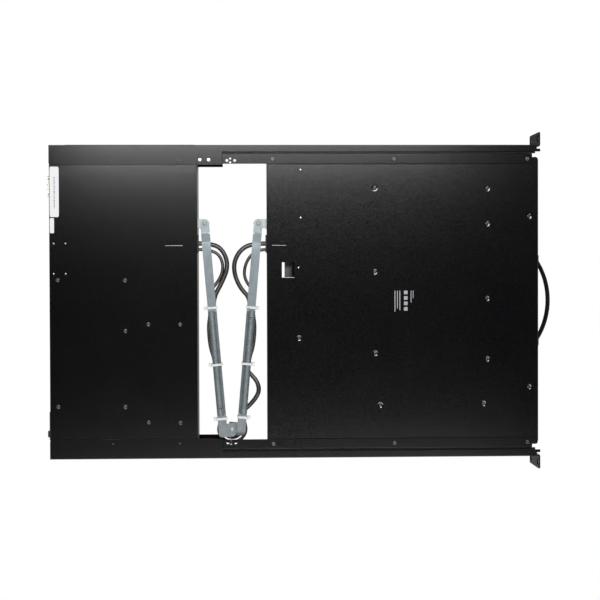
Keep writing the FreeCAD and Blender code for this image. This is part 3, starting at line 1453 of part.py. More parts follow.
def arm_ties(side, level):
    """Nylon ties round an arm and its leads, each with a head block on the outer side."""
    ties = []
    top = level + arm_sheet + 2 * lead_seat + thick_lead_diameter
    for number, x in enumerate(tie_positions):
        drop = trough_depth + rib_height if trough_start < x < trough_end else 0
        y = arm_width / 2 + tie_gap
        x0, x1 = x - tie_strap_width / 2, x + tie_strap_width / 2
        inner = box(x0, x1, -y, y, level - drop - tie_gap, top)
        s = tie_strap_thickness
        outer = box(x0, x1, -y - s, y + s, level - drop - tie_gap - s, top + s)
        rounding = [e for e in outer.Edges if abs(e.Vertexes[0].X - e.Vertexes[-1].X) > 1e-6]
        outer = outer.makeFillet(s, rounding)
        head = box(x - tie_head_length / 2, x + tie_head_length / 2, y + s - 0.3, y + s + tie_head_width,
                   level + 1.0, level + 6.0)
        tie = fused([outer.cut(inner), head])
        ties.append(place_arm(tie, side))
    return ties


# ---- Leads --------------------------------------------------------------------------------------

thick_b = arm_width / 2 - arm_width + lead_seat + thick_lead_diameter / 2 + 0.3
thin_b = arm_width / 2 - lead_seat - thin_lead_diameter / 2 - 0.3


def lead_z(level, diameter):
    """The height of a lead's centre line where it lies on an arm."""
    return level + arm_sheet + lead_seat + diameter / 2


def rear_loop_leads():
    """From the rear grommet, over the arm, round a loop on its inner side and on to the first tie."""
    (thick_x, thick_d), (thin_x, thin_d) = lead_places()
    start, z, tie = module_front + module_sheet, rear_lead_z, tie_positions[0]
    thick_z, thin_z = lead_z(rear_arm_level, thick_d), lead_z(rear_arm_level, thin_d)
    thick = [(thick_x, start, z), (thick_x, start - 23.5, z), (-72, start - 39, z - 0.3),
             (-50, start - 44.7, z - 0.7), (-28, start - 36, z - 1.3),
             arm_point(1, tie - 13, thick_b, thick_z), arm_point(1, tie, thick_b, thick_z)]
    thin = [(thin_x, start, z), (thin_x, start - 15.5, z), (-68, start - 29.5, z - 0.4),
            (-50, start - 35, z - 1.0), (-33, start - 30, z - 1.8), arm_point(1, tie - 21, thin_b, thin_z),
            arm_point(1, tie, thin_b, thin_z)]
    return [tube(thick, thick_d, "thick lead, rear loop"), tube(thin, thin_d, "thin lead, rear loop")]


def thin_lead_on_arm(side, level):
    """The thin lead, which stands off the arm's outer edge between the first two ties."""
    a0, a1, a2 = tie_positions
    steps = [(a0, 0), (a0 + 8, 0), (a0 + 26, 4.5), (a1 - 26, 4.6), (a1 - 8, 0), (a1 + 25, -0.1),
             (a2 - 15, 0), (a2, 0)]
    z = lead_z(level, thin_lead_diameter)
    points = [arm_point(side, along, thin_b + off, z) for along, off in steps]
    return tube(points, thin_lead_diameter, "thin lead, arm")


def rear_arm_leads():
    """The leads along the rear arm, from its first tie to its last."""
    a0, a1, a2 = tie_positions
    steps = [(a0, 0), (a0 + 15, 0), (a0 + 50, 0.3), (a2 - 50, -0.2), (a2 - 15, 0), (a2, 0)]
    z = lead_z(rear_arm_level, thick_lead_diameter)
    points = [arm_point(1, along, thick_b + off, z) for along, off in steps]
    return [tube(points, thick_lead_diameter, "thick lead, rear arm"), thin_lead_on_arm(1, rear_arm_level)]


def front_arm_leads():
    """The leads along the front arm; past the middle tie the thick one loops over the thin one."""
    a0, a1, a2 = tie_positions
    b, z = thick_b, lead_z(front_arm_level, thick_lead_diameter)
    top = z + thin_lead_diameter + 0.4
    steps = [(a0, b, z), (a0 + 15, b, z), (a0 + 50, b + 0.3, z), (a1 + 6, b, z), (a1 + 13, -0.5, top),
             (a1 + 22, 8, top), (a1 + 29, 17, z + 2), (a1 + 38, 21.5, z + 1), (a1 + 48, 17.5, z + 1.5),
             (a1 + 56, 8.5, top), (a1 + 64, -0.5, top), (a1 + 70, b, z), (a2, b, z)]
    points = [arm_point(-1, along, outward, height) for along, outward, height in steps]
    thick = tube(points, thick_lead_diameter, "thick lead, front arm")
    return [thick, thin_lead_on_arm(-1, front_arm_level)]


def elbow_bend(side, lane, low, high, radius):
    """Half of a lead's bend at the elbow: along the arm's lane, up to the level of the bend, and
    round the elbow's axis to the middle."""
    tie = tie_positions[2]
    x, y, _ = arm_point(side, elbow_along, -elbow_inward, 0)
    outward = math.radians(90 - arm_rest_angle)
    reach = radius / math.cos(math.radians(elbow_bend_step / 2))
    points = [arm_point(side, tie, lane, low), arm_point(side, tie + elbow_lead_straight, lane, low)]
    for number, rise in enumerate(elbow_rises):
        angle = side * (outward - math.radians(number * elbow_bend_step))
        points.append((x + reach * math.cos(angle), y + reach * math.sin(angle), low + rise * (high - low)))
    return points


def elbow_leads():
    """Round the elbow, from the rear arm's last tie up to the front arm's; the thin lead goes outside."""
    leads = []
    for name, lane, diameter, radius in (("thick", thick_b, thick_lead_diameter, thick_bend_radius),
                                         ("thin", thin_b, thin_lead_diameter, thin_bend_radius)):
        low, front = lead_z(rear_arm_level, diameter), lead_z(front_arm_level, diameter)
        high = front + elbow_bend_lift
        points = elbow_bend(1, lane, low, high, radius) + elbow_bend(-1, lane, front, high, radius)[::-1]
        leads.append(tube(points, diameter, name + " lead, elbow"))
    return leads


def front_loop_leads():
    """From the front arm's first tie round a loop to the grommet in the drawer's rear wall."""
    (thick_x, thick_d), (thin_x, thin_d) = lead_places()
    start, z, tie = tray_rear - drawer_sheet, front_lead_z, tie_positions[0]
    thick_z, thin_z = lead_z(front_arm_level, thick_d), lead_z(front_arm_level, thin_d)
    thick = [(thick_x, start, z), (thick_x, start + 20.8, z), (-76, start + 37.8, z + 0.2),
             (-58, start + 48.6, z + 0.4), (-38, start + 47.8, z + 0.4), (-18, start + 38.6, z + 0.2),
             arm_point(-1, tie - 13, thick_b, thick_z), arm_point(-1, tie, thick_b, thick_z)]
    thin = [(thin_x, start, z), (thin_x, start + 11.8, z), (-66, start + 25.3, z - 0.2),
            (-50, start + 33.4, z - 0.4), (-32, start + 33.6, z - 0.6),
            arm_point(-1, tie - 21, thin_b, thin_z), arm_point(-1, tie, thin_b, thin_z)]
    return [tube(thick, thick_d, "thick lead, front loop"), tube(thin, thin_d, "thin lead, front loop")]


# ---- Write every node ---------------------------------------------------------------------------

save("right_side_channel", side_channel())
save("left_side_channel", left_side_channel())
save("flange_rivets", *flange_rivets())
save("left_side_plate", left_side_plate())
save("chassis_screws", *chassis_screws())

for side_name, place in (("right", lambda s: s), ("left", mirror_x)):
    save(side_name + "_slide_outer", place(slide_outer()))
    save(side_name + "_slide_middle", place(slide_middle()))
    save(side_name + "_slide_inner", place(slide_inner()))
    save(side_name + "_drawer_side", place(drawer_side()))
save("outer_ball_cages", *ball_cages(middle_half_height + ball_radius + ball_clearance))
save("inner_ball_cages", *ball_cages(slide_inner_half_height + ball_radius + ball_clearance))

save("drawer_tray", drawer_tray())
save("hinge_cross_member", hinge_cross_member())
save("keyboard_deck", keyboard_deck())
save("keyboard_base", keyboard_base())
save("keycaps", *keycaps())
save("space_bar", space_bar())
save("touchpad", touchpad())
save("left_touch_button", touch_button(-1))
save("right_touch_button", touch_button(1))
save("drawer_screws", *drawer_screws())

save("lid_cover", lid_cover())
save("lid_bezel", lid_bezel())
save("lcd_panel", lcd_panel())
save("display_board", display_board())
save("lid_bumpers", *lid_bumpers())
for button in range(osd_button_count):
    save("osd_button_%d" % (button + 1), osd_button(button))
save("left_lid_catch", lid_catch(-1))
save("right_lid_catch", lid_catch(1))
save("hinge_brackets", *both_sides(hinge_bracket()))
save("hinge_knuckles", *both_sides(hinge_knuckle()))
save("bow_handle", bow_handle())

save("switch_module_tray", module_tray())
save("switch_module_cover", module_cover())
save("switch_board", switch_board())
save("power_supply", power_supply())
save("video_connector", video_connector())
save("power_inlet", power_inlet())
save("power_rocker", power_rocker())

save("rear_grommet", grommet(module_front, module_sheet, -1, rear_lead_z))
save("front_grommet", grommet(tray_rear, drawer_sheet, 1, front_lead_z))
save("rear_arm_bracket", *arm_bracket(module_front, -1, rear_pivot_y))
save("front_arm_bracket", *arm_bracket(tray_rear, 1, front_pivot_y))
save("rear_arm", rear_arm())
save("front_arm", front_arm())
save("elbow_rivet", elbow_rivet())
save("rear_arm_ties", *arm_ties(1, rear_arm_level))
save("front_arm_ties", *arm_ties(-1, front_arm_level))
save("rear_loop_leads", *rear_loop_leads())
save("rear_arm_leads", *rear_arm_leads())
save("elbow_leads", *elbow_leads())
save("front_arm_leads", *front_arm_leads())
save("front_loop_leads", *front_loop_leads())
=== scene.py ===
import json
import math

import bmesh
import bpy
import numpy as np
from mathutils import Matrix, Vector


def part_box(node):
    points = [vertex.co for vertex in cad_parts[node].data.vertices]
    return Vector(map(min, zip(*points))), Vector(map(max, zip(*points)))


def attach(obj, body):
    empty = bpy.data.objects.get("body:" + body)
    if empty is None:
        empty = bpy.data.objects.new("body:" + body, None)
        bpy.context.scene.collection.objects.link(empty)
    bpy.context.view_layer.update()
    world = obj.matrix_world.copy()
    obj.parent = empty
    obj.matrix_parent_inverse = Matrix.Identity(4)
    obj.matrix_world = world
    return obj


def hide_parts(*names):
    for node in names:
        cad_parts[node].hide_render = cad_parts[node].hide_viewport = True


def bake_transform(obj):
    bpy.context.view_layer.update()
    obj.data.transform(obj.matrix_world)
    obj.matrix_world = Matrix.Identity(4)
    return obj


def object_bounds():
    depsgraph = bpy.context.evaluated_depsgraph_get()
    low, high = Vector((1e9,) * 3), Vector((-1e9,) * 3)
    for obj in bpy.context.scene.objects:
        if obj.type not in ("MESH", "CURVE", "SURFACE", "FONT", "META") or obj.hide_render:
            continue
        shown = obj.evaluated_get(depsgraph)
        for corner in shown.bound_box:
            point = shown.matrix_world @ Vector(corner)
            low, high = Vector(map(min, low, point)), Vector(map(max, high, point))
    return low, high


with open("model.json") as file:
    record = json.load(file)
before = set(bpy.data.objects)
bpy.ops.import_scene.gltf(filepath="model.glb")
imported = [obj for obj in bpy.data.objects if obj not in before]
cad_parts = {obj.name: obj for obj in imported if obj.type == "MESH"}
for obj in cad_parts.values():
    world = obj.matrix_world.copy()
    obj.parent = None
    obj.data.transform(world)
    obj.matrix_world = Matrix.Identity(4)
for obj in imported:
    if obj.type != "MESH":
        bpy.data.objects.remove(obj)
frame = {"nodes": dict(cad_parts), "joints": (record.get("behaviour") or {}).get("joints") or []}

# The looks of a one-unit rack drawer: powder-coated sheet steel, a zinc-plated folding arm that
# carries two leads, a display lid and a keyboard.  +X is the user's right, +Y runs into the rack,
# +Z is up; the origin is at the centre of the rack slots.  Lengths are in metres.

MM = 0.001
nodes = frame["nodes"]
cad_low, cad_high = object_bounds()


# ---- The folding arm's frame --------------------------------------------------------------------

joint_place = {joint["name"]: joint.get("pos_m") for joint in frame["joints"]}
rear_pivot = Vector(joint_place["rear_arm_pivot"])
front_pivot = Vector(joint_place["front_arm_pivot"])
elbow = sum(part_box("elbow_rivet"), Vector()) / 2

# the elbow's hole: how far along an arm from its wall pivot, and how far in from its middle line
ELBOW_ALONG, ELBOW_INWARD = 297.1 * MM, 13.0 * MM

# the ribs pressed across an arm's trough, and the trough's own middle and half width
RIB_PITCH, FIRST_RIB, LAST_RIB = 3.0 * MM, 134.15 * MM, 266.15 * MM
TROUGH_MIDDLE, TROUGH_HALF = 1.45 * MM, 4.2 * MM


def arm_frame(side):
    """An arm's wall pivot and its angle from +X.  Side is +1 for the rear arm, whose outer side
    faces +Y, and -1 for the front arm."""
    pivot = rear_pivot if side > 0 else front_pivot
    reach = elbow.xy - pivot.xy
    return pivot, math.atan2(reach.y, reach.x) + side * math.atan2(ELBOW_INWARD, ELBOW_ALONG)


# ---- Small helpers ------------------------------------------------------------------------------

def linear(hex_colour):
    """The linear RGBA of an sRGB hex colour."""
    values = [int(hex_colour[i:i + 2], 16) / 255 for i in (1, 3, 5)]
    return tuple(v / 12.92 if v <= 0.04045 else ((v + 0.055) / 1.055) ** 2.4 for v in values) + (1.0,)


def add_node(tree, kind, inputs=None, **settings):
    """Add a node of a kind and set its own fields.  An input is given a plain value, or another
    node's output to link, or another node, whose first output is then linked."""
    node = tree.nodes.new(kind)
    for name, value in settings.items():
        setattr(node, name, value)
    for name, value in (inputs or {}).items():
        source = value.outputs[0] if isinstance(value, bpy.types.Node) else value
        if isinstance(source, bpy.types.NodeSocket):
            tree.links.new(source, node.inputs[name])
        else:
            node.inputs[name].default_value = source
    return node


def new_material(name):
    """An empty material and its node tree."""
    material = bpy.data.materials.new(name)
    material.use_nodes = True
    material.node_tree.nodes.clear()
    return material, material.node_tree


def lumps(tree, size, detail=2.0, roughness=0.5, stretch=(1, 1, 1)):
    """A pattern of soft lumps, about size metres across, that lies still on the piece."""
    place = add_node(tree, "ShaderNodeTexCoord").outputs["Object"]
    laid = add_node(tree, "ShaderNodeMapping", {"Vector": place, "Scale": stretch})
    return add_node(tree, "ShaderNodeTexNoise", {"Vector": laid, "Scale": 1 / size, "Detail": detail,
                                                 "Roughness": roughness})


def lay_finish(material, colour=None, gloss=None, relief=None, shade=None, dulling=None, **others):
    """Lay patterns on a material's shader.  Colour is (pattern, dark, light) and gloss is (pattern,
    lowest roughness, highest), both spread over a pattern's middle, 0.3 to 0.7; relief is (pattern,
    depth in metres, strength).  Shade multiplies the colour and dulling adds to the roughness.
    The others are the shader's own inputs, written with _ for a space."""
    tree = material.node_tree
    inputs = {name.replace("_", " "): value for name, value in others.items()}
    if colour:
        pattern, dark, light = colour
        ramp = add_node(tree, "ShaderNodeValToRGB", {"Fac": pattern})
        for stop, position, tone in zip(ramp.color_ramp.elements, (0.3, 0.7), (dark, light)):
            stop.position = position
            stop.color = linear(tone)
        inputs["Base Color"] = ramp
    if shade:
        inputs["Base Color"] = add_node(tree, "ShaderNodeVectorMath", {
            0: inputs["Base Color"], "Scale": shade}, operation="SCALE")
    if gloss:
        pattern, low, high = gloss
        inputs["Roughness"] = add_node(tree, "ShaderNodeMapRange", {
            "Value": pattern, "From Min": 0.3, "From Max": 0.7, "To Min": low, "To Max": high})
    if dulling:
        inputs["Roughness"] = add_node(tree, "ShaderNodeMath", {
            0: inputs["Roughness"], 1: dulling}, operation="ADD")
    if relief:
        pattern, depth, strength = relief
        inputs["Normal"] = add_node(tree, "ShaderNodeBump", {
            "Height": pattern, "Distance": depth, "Strength": strength})
    shader = add_node(tree, "ShaderNodeBsdfPrincipled", inputs)
    add_node(tree, "ShaderNodeOutputMaterial", {"Surface": shader})
    return material


# ---- Finishes -----------------------------------------------------------------------------------

def powder_coat(name, dark, light, grain, roughness, level):
    """Black powder coat on steel: cured powder leaves a fine orange peel and a satin sheen.
    The grain is about twice the real 0.4 mm lumps, so that it shows.  Upright faces are drawn
    duller, as where thick powder has sagged, so that they don't mirror the lamps."""
    material, tree = new_material(name)
    peel = lumps(tree, grain, 3.0, 0.6)
    facing = add_node(tree, "ShaderNodeSeparateXYZ", {
        "Vector": add_node(tree, "ShaderNodeTexCoord").outputs["Normal"]}).outputs["Z"]
    lying = add_node(tree, "ShaderNodeMath", {0: facing}, operation="ABSOLUTE")
    upright = add_node(tree, "ShaderNodeMapRange", {
        "Value": lying, "From Min": 0.3, "From Max": 0.8, "To Min": 0.32, "To Max": 0.0})
    return lay_finish(material, (lumps(tree, 60 * MM), dark, light),
                      (peel, roughness - 0.05, roughness + 0.07), (peel, 0.02 * MM, 0.5),
                      dulling=upright, Specular_IOR_Level=level)


def rib_pattern(tree, side):
    """Two patterns for an arm.  The first is the height, 0 to 1, of the ribs pressed across its
    trough: (1 + cos(2 pi (s - s0) / p)) / 2, with s the distance from the wall pivot, inside the
    trough's ends and sides, and 1 elsewhere.  The second falls from 1 at the pivot's end to 0."""
    pivot, tilt = arm_frame(side)
    place = add_node(tree, "ShaderNodeTexCoord").outputs["Object"]
    moved = add_node(tree, "ShaderNodeVectorMath", {0: place, 1: (pivot.x, pivot.y, 0.0)},
                     operation="SUBTRACT")
    turned_back = add_node(tree, "ShaderNodeMapping", {"Vector": moved, "Rotation": (0, 0, -tilt)})
    local = add_node(tree, "ShaderNodeSeparateXYZ", {"Vector": turned_back})
    along, across = local.outputs["X"], local.outputs["Y"]
    from_first = add_node(tree, "ShaderNodeMath", {0: along, 1: FIRST_RIB}, operation="SUBTRACT")
    phase = add_node(tree, "ShaderNodeMath", {0: from_first, 1: 2 * math.pi / RIB_PITCH},
                     operation="MULTIPLY")
    wave = add_node(tree, "ShaderNodeMath", {0: phase}, operation="COSINE")
    groove = add_node(tree, "ShaderNodeMath", {0: wave, 1: -0.5, 2: 0.5}, operation="MULTIPLY_ADD")
    within_ends = add_node(tree, "ShaderNodeMath", {
        0: along, 1: (FIRST_RIB + LAST_RIB) / 2, 2: (LAST_RIB - FIRST_RIB) / 2 + 1.3 * MM},
        operation="COMPARE")
    within_sides = add_node(tree, "ShaderNodeMath", {
        0: across, 1: side * TROUGH_MIDDLE, 2: TROUGH_HALF}, operation="COMPARE")
    inside = add_node(tree, "ShaderNodeMath", {0: within_ends, 1: within_sides}, operation="MULTIPLY")
    pressed = add_node(tree, "ShaderNodeMath", {0: groove, 1: inside}, operation="MULTIPLY")
    height = add_node(tree, "ShaderNodeMath", {0: 1.0, 1: pressed}, operation="SUBTRACT")
    pivot_end = add_node(tree, "ShaderNodeMapRange", {
        "Value": along, "From Min": 27 * MM, "From Max": 45 * MM, "To Min": 1.0, "To Max": 0.0})
    return height, pivot_end


def zinc_plate(name, dark, light, ribbed_side=0):
    """Bright zinc plating on rolled strip: bluish grey, with rolling streaks along X, drawn wider
    than the real ones so that they show, and a faint mottle where the bath left thicker zinc.
    A ribbed arm has painted shade between its pressed ribs, where the grooves would lie in shadow, and is
    drawn brighter at its pivot's end."""
    material, tree = new_material(name)
    streaks = lumps(tree, 0.8 * MM, 3.0, 0.6, (0.06, 1.0, 1.0))
    half_mottle = add_node(tree, "ShaderNodeMath", {0: lumps(tree, 9 * MM, 3.0), 1: 0.5},
                           operation="MULTIPLY")
    mixed = add_node(tree, "ShaderNodeMath", {0: streaks, 1: 0.5, 2: half_mottle},
                     operation="MULTIPLY_ADD")
    shade, relief = None, (streaks, 0.02 * MM, 0.4)
    if ribbed_side:
        height, pivot_end = rib_pattern(tree, ribbed_side)
        # painted shade: the colour falls to 0.74 in the rib grooves
        ribs = add_node(tree, "ShaderNodeMapRange", {"Value": height, "To Min": 0.74, "To Max": 1.0})
        lift = add_node(tree, "ShaderNodeMath", {0: pivot_end, 1: 0.5, 2: 1.0}, operation="MULTIPLY_ADD")
        shade = add_node(tree, "ShaderNodeMath", {0: ribs, 1: lift}, operation="MULTIPLY")
        relief = (height, 0.16 * MM, 1.0)
    return lay_finish(material, (mixed, dark, light), (streaks, 0.42, 0.56), relief, shade, Metallic=0.45)


def black_zinc_and_gap_shade():
    """Black zinc plating on the slides' rolled steel: a dense black with faint oily streaks along
    the rolling direction, Y, drawn wider than the real ones so that they show.  The near black
    is also painted shade, for the dark gap between channel and drawer where the slides show."""
    material, tree = new_material("black_zinc_slide_and_gap_shade")
    streaks = lumps(tree, 0.7 * MM, 3.0, 0.6, (1.0, 0.05, 1.0))
    return lay_finish(material, (streaks, "#08080a", "#101013"), (streaks, 0.30, 0.42),
                      (streaks, 0.01 * MM, 0.3), Metallic=0.2, Specular_IOR_Level=0.4)


def plain_metal(name, dark, light, roughness, metallic=1.0):
    """Turned or stamped metal, such as rivets, posts and balls: its grain is drawn 1.2 mm wide,
    coarser than the real one, so that the gloss varies a little where it shows."""
    material, tree = new_material(name)
    grain = lumps(tree, 1.2 * MM, 3.0)
    return lay_finish(material, (grain, dark, light), (grain, roughness - 0.05, roughness + 0.08),
                      Metallic=metallic)


def moulded_plastic(name, dark, light, roughness, grain, depth, level=0.5):
    """Moulded plastic or rubber: a spark-eroded mould leaves a fine matt grain, drawn several
    times coarser than the real one so that it shows."""
    material, tree = new_material(name)
    pits = lumps(tree, grain, 2.0, 0.6)
    return lay_finish(material, (lumps(tree, 15 * MM), dark, light),
                      (pits, roughness - 0.04, roughness + 0.06), (pits, depth, 0.4),
                      Specular_IOR_Level=level)


def lead_jacket():
    """Soft PVC lead jacket: brownish black, dull satin, with a slow waver of gloss along it and an
    extruded skin's grain, drawn coarse so that it shows."""
    material, tree = new_material("pvc_lead_jacket")
    waver = lumps(tree, 12 * MM)
    return lay_finish(material, (waver, "#0e0b0a", "#1a1513"), (waver, 0.33, 0.46),
                      (lumps(tree, 0.9 * MM, 3.0), 0.04 * MM, 0.5), Specular_IOR_Level=0.45)


def nylon():
    """Natural nylon cable tie: milky white and slightly waxy.  A wave repeats every 0.314 of its
    size, so the teeth lie 2.4 mm apart, twice the real 1.2 mm, so that they show."""
    material, tree = new_material("natural_nylon")
    place = add_node(tree, "ShaderNodeTexCoord").outputs["Object"]
    teeth = add_node(tree, "ShaderNodeTexWave", {"Vector": place, "Scale": 1 / (7.5 * MM)},
                     bands_direction="Y").outputs["Fac"]
    return lay_finish(material, (lumps(tree, 4 * MM), "#939492", "#a9aaa8"), None,
                      (teeth, 0.06 * MM, 0.4), Roughness=0.38, Specular_IOR_Level=0.45)


def screen_glass():
    """Switched-off liquid crystal panel behind an antiglare film: near black with a blue cast.
    The film's grain is drawn several times coarser than the real one so that it shows."""
    material, tree = new_material("antiglare_panel")
    return lay_finish(material, (lumps(tree, 90 * MM), "#06080c", "#0c0f15"),
                      (lumps(tree, 0.35 * MM, 1.0), 0.16, 0.26))


def circuit_board():
    """Green solder mask over copper: darker board with slightly lighter, raised tracks, fewer and
    wider than real ones so that they show."""
    material, tree = new_material("solder_mask")
    place = add_node(tree, "ShaderNodeTexCoord").outputs["Object"]
    tracks = add_node(tree, "ShaderNodeTexBrick", {
        "Vector": place, "Color1": linear("#0f4a2a"), "Color2": linear("#0c4025"),
        "Mortar": linear("#1d6b3e"), "Scale": 1.0, "Mortar Size": 0.3 * MM, "Brick Width": 7 * MM,
        "Row Height": 2.5 * MM}, offset=0.5)
    return lay_finish(material, relief=(tracks.outputs["Fac"], 0.04 * MM, 0.5), Roughness=0.35,
                      Base_Color=tracks.outputs["Color"])


def label_paper():
    """Coated label paper: a clean white with a faint fibre mottle, drawn coarse so that it shows."""
    material, tree = new_material("label_paper")
    return lay_finish(material, (lumps(tree, 1.5 * MM, 3.0), "#a2a3a4", "#adaeae"), Roughness=0.55,
                      Specular_IOR_Level=0.3)


def print_ink(name, dark, light):
    """Screen-printed ink: matt, a little uneven in its cover, drawn coarser than a screen's mesh."""
    material, tree = new_material(name)
    return lay_finish(material, (lumps(tree, 0.8 * MM, 3.0), dark, light), Roughness=0.6,
                      Specular_IOR_Level=0.3)


# sheets coated a deep black whose sheen shows the pale room as a soft grey
panel_coat = powder_coat("satin_powder_coat", "#010102", "#030304", 0.9 * MM, 0.16, 0.46)
# the channels' thicker coat: a greyer black that shines less
rail_coat = powder_coat("satin_rail_coat", "#040405", "#070708", 1.1 * MM, 0.19, 0.20)
# the handle's coat: matt, and a warm brownish black
handle_coat = powder_coat("brown_black_coat", "#060302", "#0b0705", 0.9 * MM, 0.50, 0.06)
# zinc plating: a light even grey on the brackets, a bluer and darker grey on the arms
bracket_zinc = zinc_plate("zinc_plated_bracket", "#6a6d6c", "#858683")
rear_arm_zinc = zinc_plate("zinc_plated_rear_arm", "#464d50", "#5d6467", 1)
front_arm_zinc = zinc_plate("zinc_plated_front_arm", "#464d50", "#5d6467", -1)
# the slides: black zinc, and painted shade for the dark gap where they show
slide_black_and_gap_shade = black_zinc_and_gap_shade()
# metals that catch small sparks of light: warm plated rivets, bright balls, a soft grey frame
rivet_zinc = plain_metal("zinc_rivet", "#8f8e88", "#b3b2ab", 0.34)
ball_steel = plain_metal("polished_ball_steel", "#b8babc", "#d2d4d5", 0.15)
shell_nickel = plain_metal("nickel_shell", "#a6a49d", "#c4c2bb", 0.25)
panel_frame = plain_metal("panel_frame_steel", "#8f9294", "#a7aaab", 0.4)
stud_metal = plain_metal("pressed_stud_steel", "#77787a", "#9a9b9c", 0.35)
# blackened steel: dark grey with a metal's glint on the edges
screw_black = plain_metal("blackened_screw", "#2b2b2e", "#444447", 0.32, 0.9)
hinge_metal = plain_metal("blackened_hinge_steel", "#2a2b2d", "#3a3b3d", 0.36, 0.9)
tie_nylon = nylon()
jacket = lead_jacket()
# moulded parts: near black and matt, the keys a little rougher to the eye than the bezel
rubber = moulded_plastic("moulded_rubber", "#0d0d0d", "#151514", 0.62, 0.8 * MM, 0.05 * MM, 0.35)
key_plastic = moulded_plastic("matt_abs_keys", "#101113", "#17181a", 0.55, 0.5 * MM, 0.04 * MM)
pan_plastic = moulded_plastic("moulded_abs_pan", "#0c0d0e", "#121314", 0.6, 0.8 * MM, 0.05 * MM)
bezel_plastic = moulded_plastic("moulded_abs_bezel", "#08090a", "#0e0f10", 0.42, 0.7 * MM, 0.04 * MM)
socket_plastic = moulded_plastic("moulded_nylon_socket", "#0c0c0d", "#121213", 0.4, 0.7 * MM, 0.03 * MM)
# polyester film: a dull dark grey on the touchpad; the black one is painted shade in slots and seams
touch_film = moulded_plastic("touchpad_polyester", "#2b2d30", "#34363a", 0.5, 0.4 * MM, 0.02 * MM)
painted_shade_film = moulded_plastic("painted_shade_black_film", "#010101", "#020202", 0.7, 2.0 * MM, 0.02 * MM, 0.1)
glass = screen_glass()
board = circuit_board()
paper = label_paper()
# printed inks: mid grey on the tray, darker on the label, off-white on the keys
ink_grey = print_ink("grey_print", "#66676a", "#828385")
ink_dark = print_ink("dark_print", "#55565a", "#6b6c70")
ink_white = print_ink("white_legend", "#b9babb", "#d4d5d6")

node_finish = {
    panel_coat: ("switch_module_tray", "switch_module_cover", "drawer_tray", "hinge_cross_member",
                 "keyboard_deck", "lid_cover", "left_side_plate"),
    rail_coat: ("left_side_channel", "right_side_channel", "left_drawer_side", "right_drawer_side"),
    handle_coat: ("bow_handle",),
    bracket_zinc: ("rear_arm_bracket", "front_arm_bracket", "elbow_rivet"),
    rear_arm_zinc: ("rear_arm",),
    front_arm_zinc: ("front_arm",),
    slide_black_and_gap_shade: ("left_slide_outer", "right_slide_outer", "left_slide_middle", "right_slide_middle",
                 "left_slide_inner", "right_slide_inner"),
    rivet_zinc: ("flange_rivets",),
    ball_steel: ("outer_ball_cages", "inner_ball_cages"),
    screw_black: ("chassis_screws", "drawer_screws"),
    hinge_metal: ("hinge_brackets", "hinge_knuckles"),
    shell_nickel: ("video_connector",),
    panel_frame: ("lcd_panel",),
    tie_nylon: ("rear_arm_ties", "front_arm_ties"),
    jacket: ("rear_loop_leads", "rear_arm_leads", "elbow_leads", "front_arm_leads", "front_loop_leads"),
    rubber: ("rear_grommet", "front_grommet", "lid_bumpers"),
    key_plastic: ("keycaps", "space_bar", "osd_button_1", "osd_button_2", "osd_button_3",
                  "osd_button_4", "left_lid_catch", "right_lid_catch"),
    pan_plastic: ("keyboard_base",),
    touch_film: ("touchpad", "left_touch_button", "right_touch_button"),
    bezel_plastic: ("lid_bezel",),
    socket_plastic: ("power_inlet", "power_rocker"),
    board: ("switch_board", "power_supply", "display_board"),
}
for finish, names in node_finish.items():
    for name in names:
        slots = nodes[name].material_slots
        if slots:
            slots[0].material = finish
        else:
            nodes[name].data.materials.append(finish)


# ---- Mesh builders ------------------------------------------------------------------------------

def add_piece(name, vertices, faces, material, body, sharp=35.0):
    """A mesh piece: doubles merged, smooth but for edges sharper than the given degrees."""
    mesh = bpy.data.meshes.new(name)
    mesh.from_pydata(vertices.reshape(-1, 3).tolist(), [], faces.tolist())
    return dress(name, mesh, material, body, sharp)


def dress(name, mesh, material, body, sharp):
    """Merge a mesh's doubles, drop faces without area, shade it and set it on its body."""
    shape = bmesh.new()
    shape.from_mesh(mesh)
    bmesh.ops.remove_doubles(shape, verts=shape.verts, dist=0.001 * MM)
    bmesh.ops.dissolve_degenerate(shape, edges=shape.edges, dist=0.001 * MM)
    bmesh.ops.recalc_face_normals(shape, faces=shape.faces)
    shape.to_mesh(mesh)
    shape.free()
    mesh.polygons.foreach_set("use_smooth", np.ones(len(mesh.polygons), bool))
    mesh.set_sharp_from_angle(angle=math.radians(sharp))
    mesh.materials.clear()
    mesh.materials.append(material)
    piece = bpy.data.objects.new(name, mesh)
    bpy.context.scene.collection.objects.link(piece)
    if body:
        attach(piece, body)
    return piece


def grid_faces(blocks, levels, around):
    """Quads between neighbouring rings of every block; each ring closes on itself."""
    k, i, j = np.meshgrid(np.arange(blocks), np.arange(levels - 1), np.arange(around), indexing="ij")
    start = k * levels * around
    here, after = i * around + j, i * around + (j + 1) % around
    return np.stack([start + here, start + after, start + after + around, start + here + around],
                    axis=-1).reshape(-1, 4)


def ringed_blocks(centres, halves, steps, power=8.0, around=24):
    """Blocks made of stacked rings.  A ring is the superellipse |x/a|^n + |y/b|^n = 1 about the
    block's centre, with a and b the half sizes less the step's inset, times the step's share;
    a share of 0 closes the block at a point.  Steps are (share, inset, height)."""
    share, inset, height = (np.array(column, float) for column in zip(*steps))
    angle = 2 * np.pi * (np.arange(around) + 0.5) / around
    circle = np.stack([np.cos(angle), np.sin(angle)], axis=1)
    unit = np.sign(circle) * np.abs(circle) ** (2 / power)
    half = share[None, :, None] * (np.asarray(halves)[:, None, :] - inset[None, :, None])
    flat = np.asarray(centres)[:, None, None, :] + half[:, :, None, :] * unit[None, None]
    tall = np.broadcast_to(height[None, :, None, None], flat.shape[:3] + (1,))
    return np.concatenate([flat, tall], axis=-1), grid_faces(len(flat), len(steps), around)


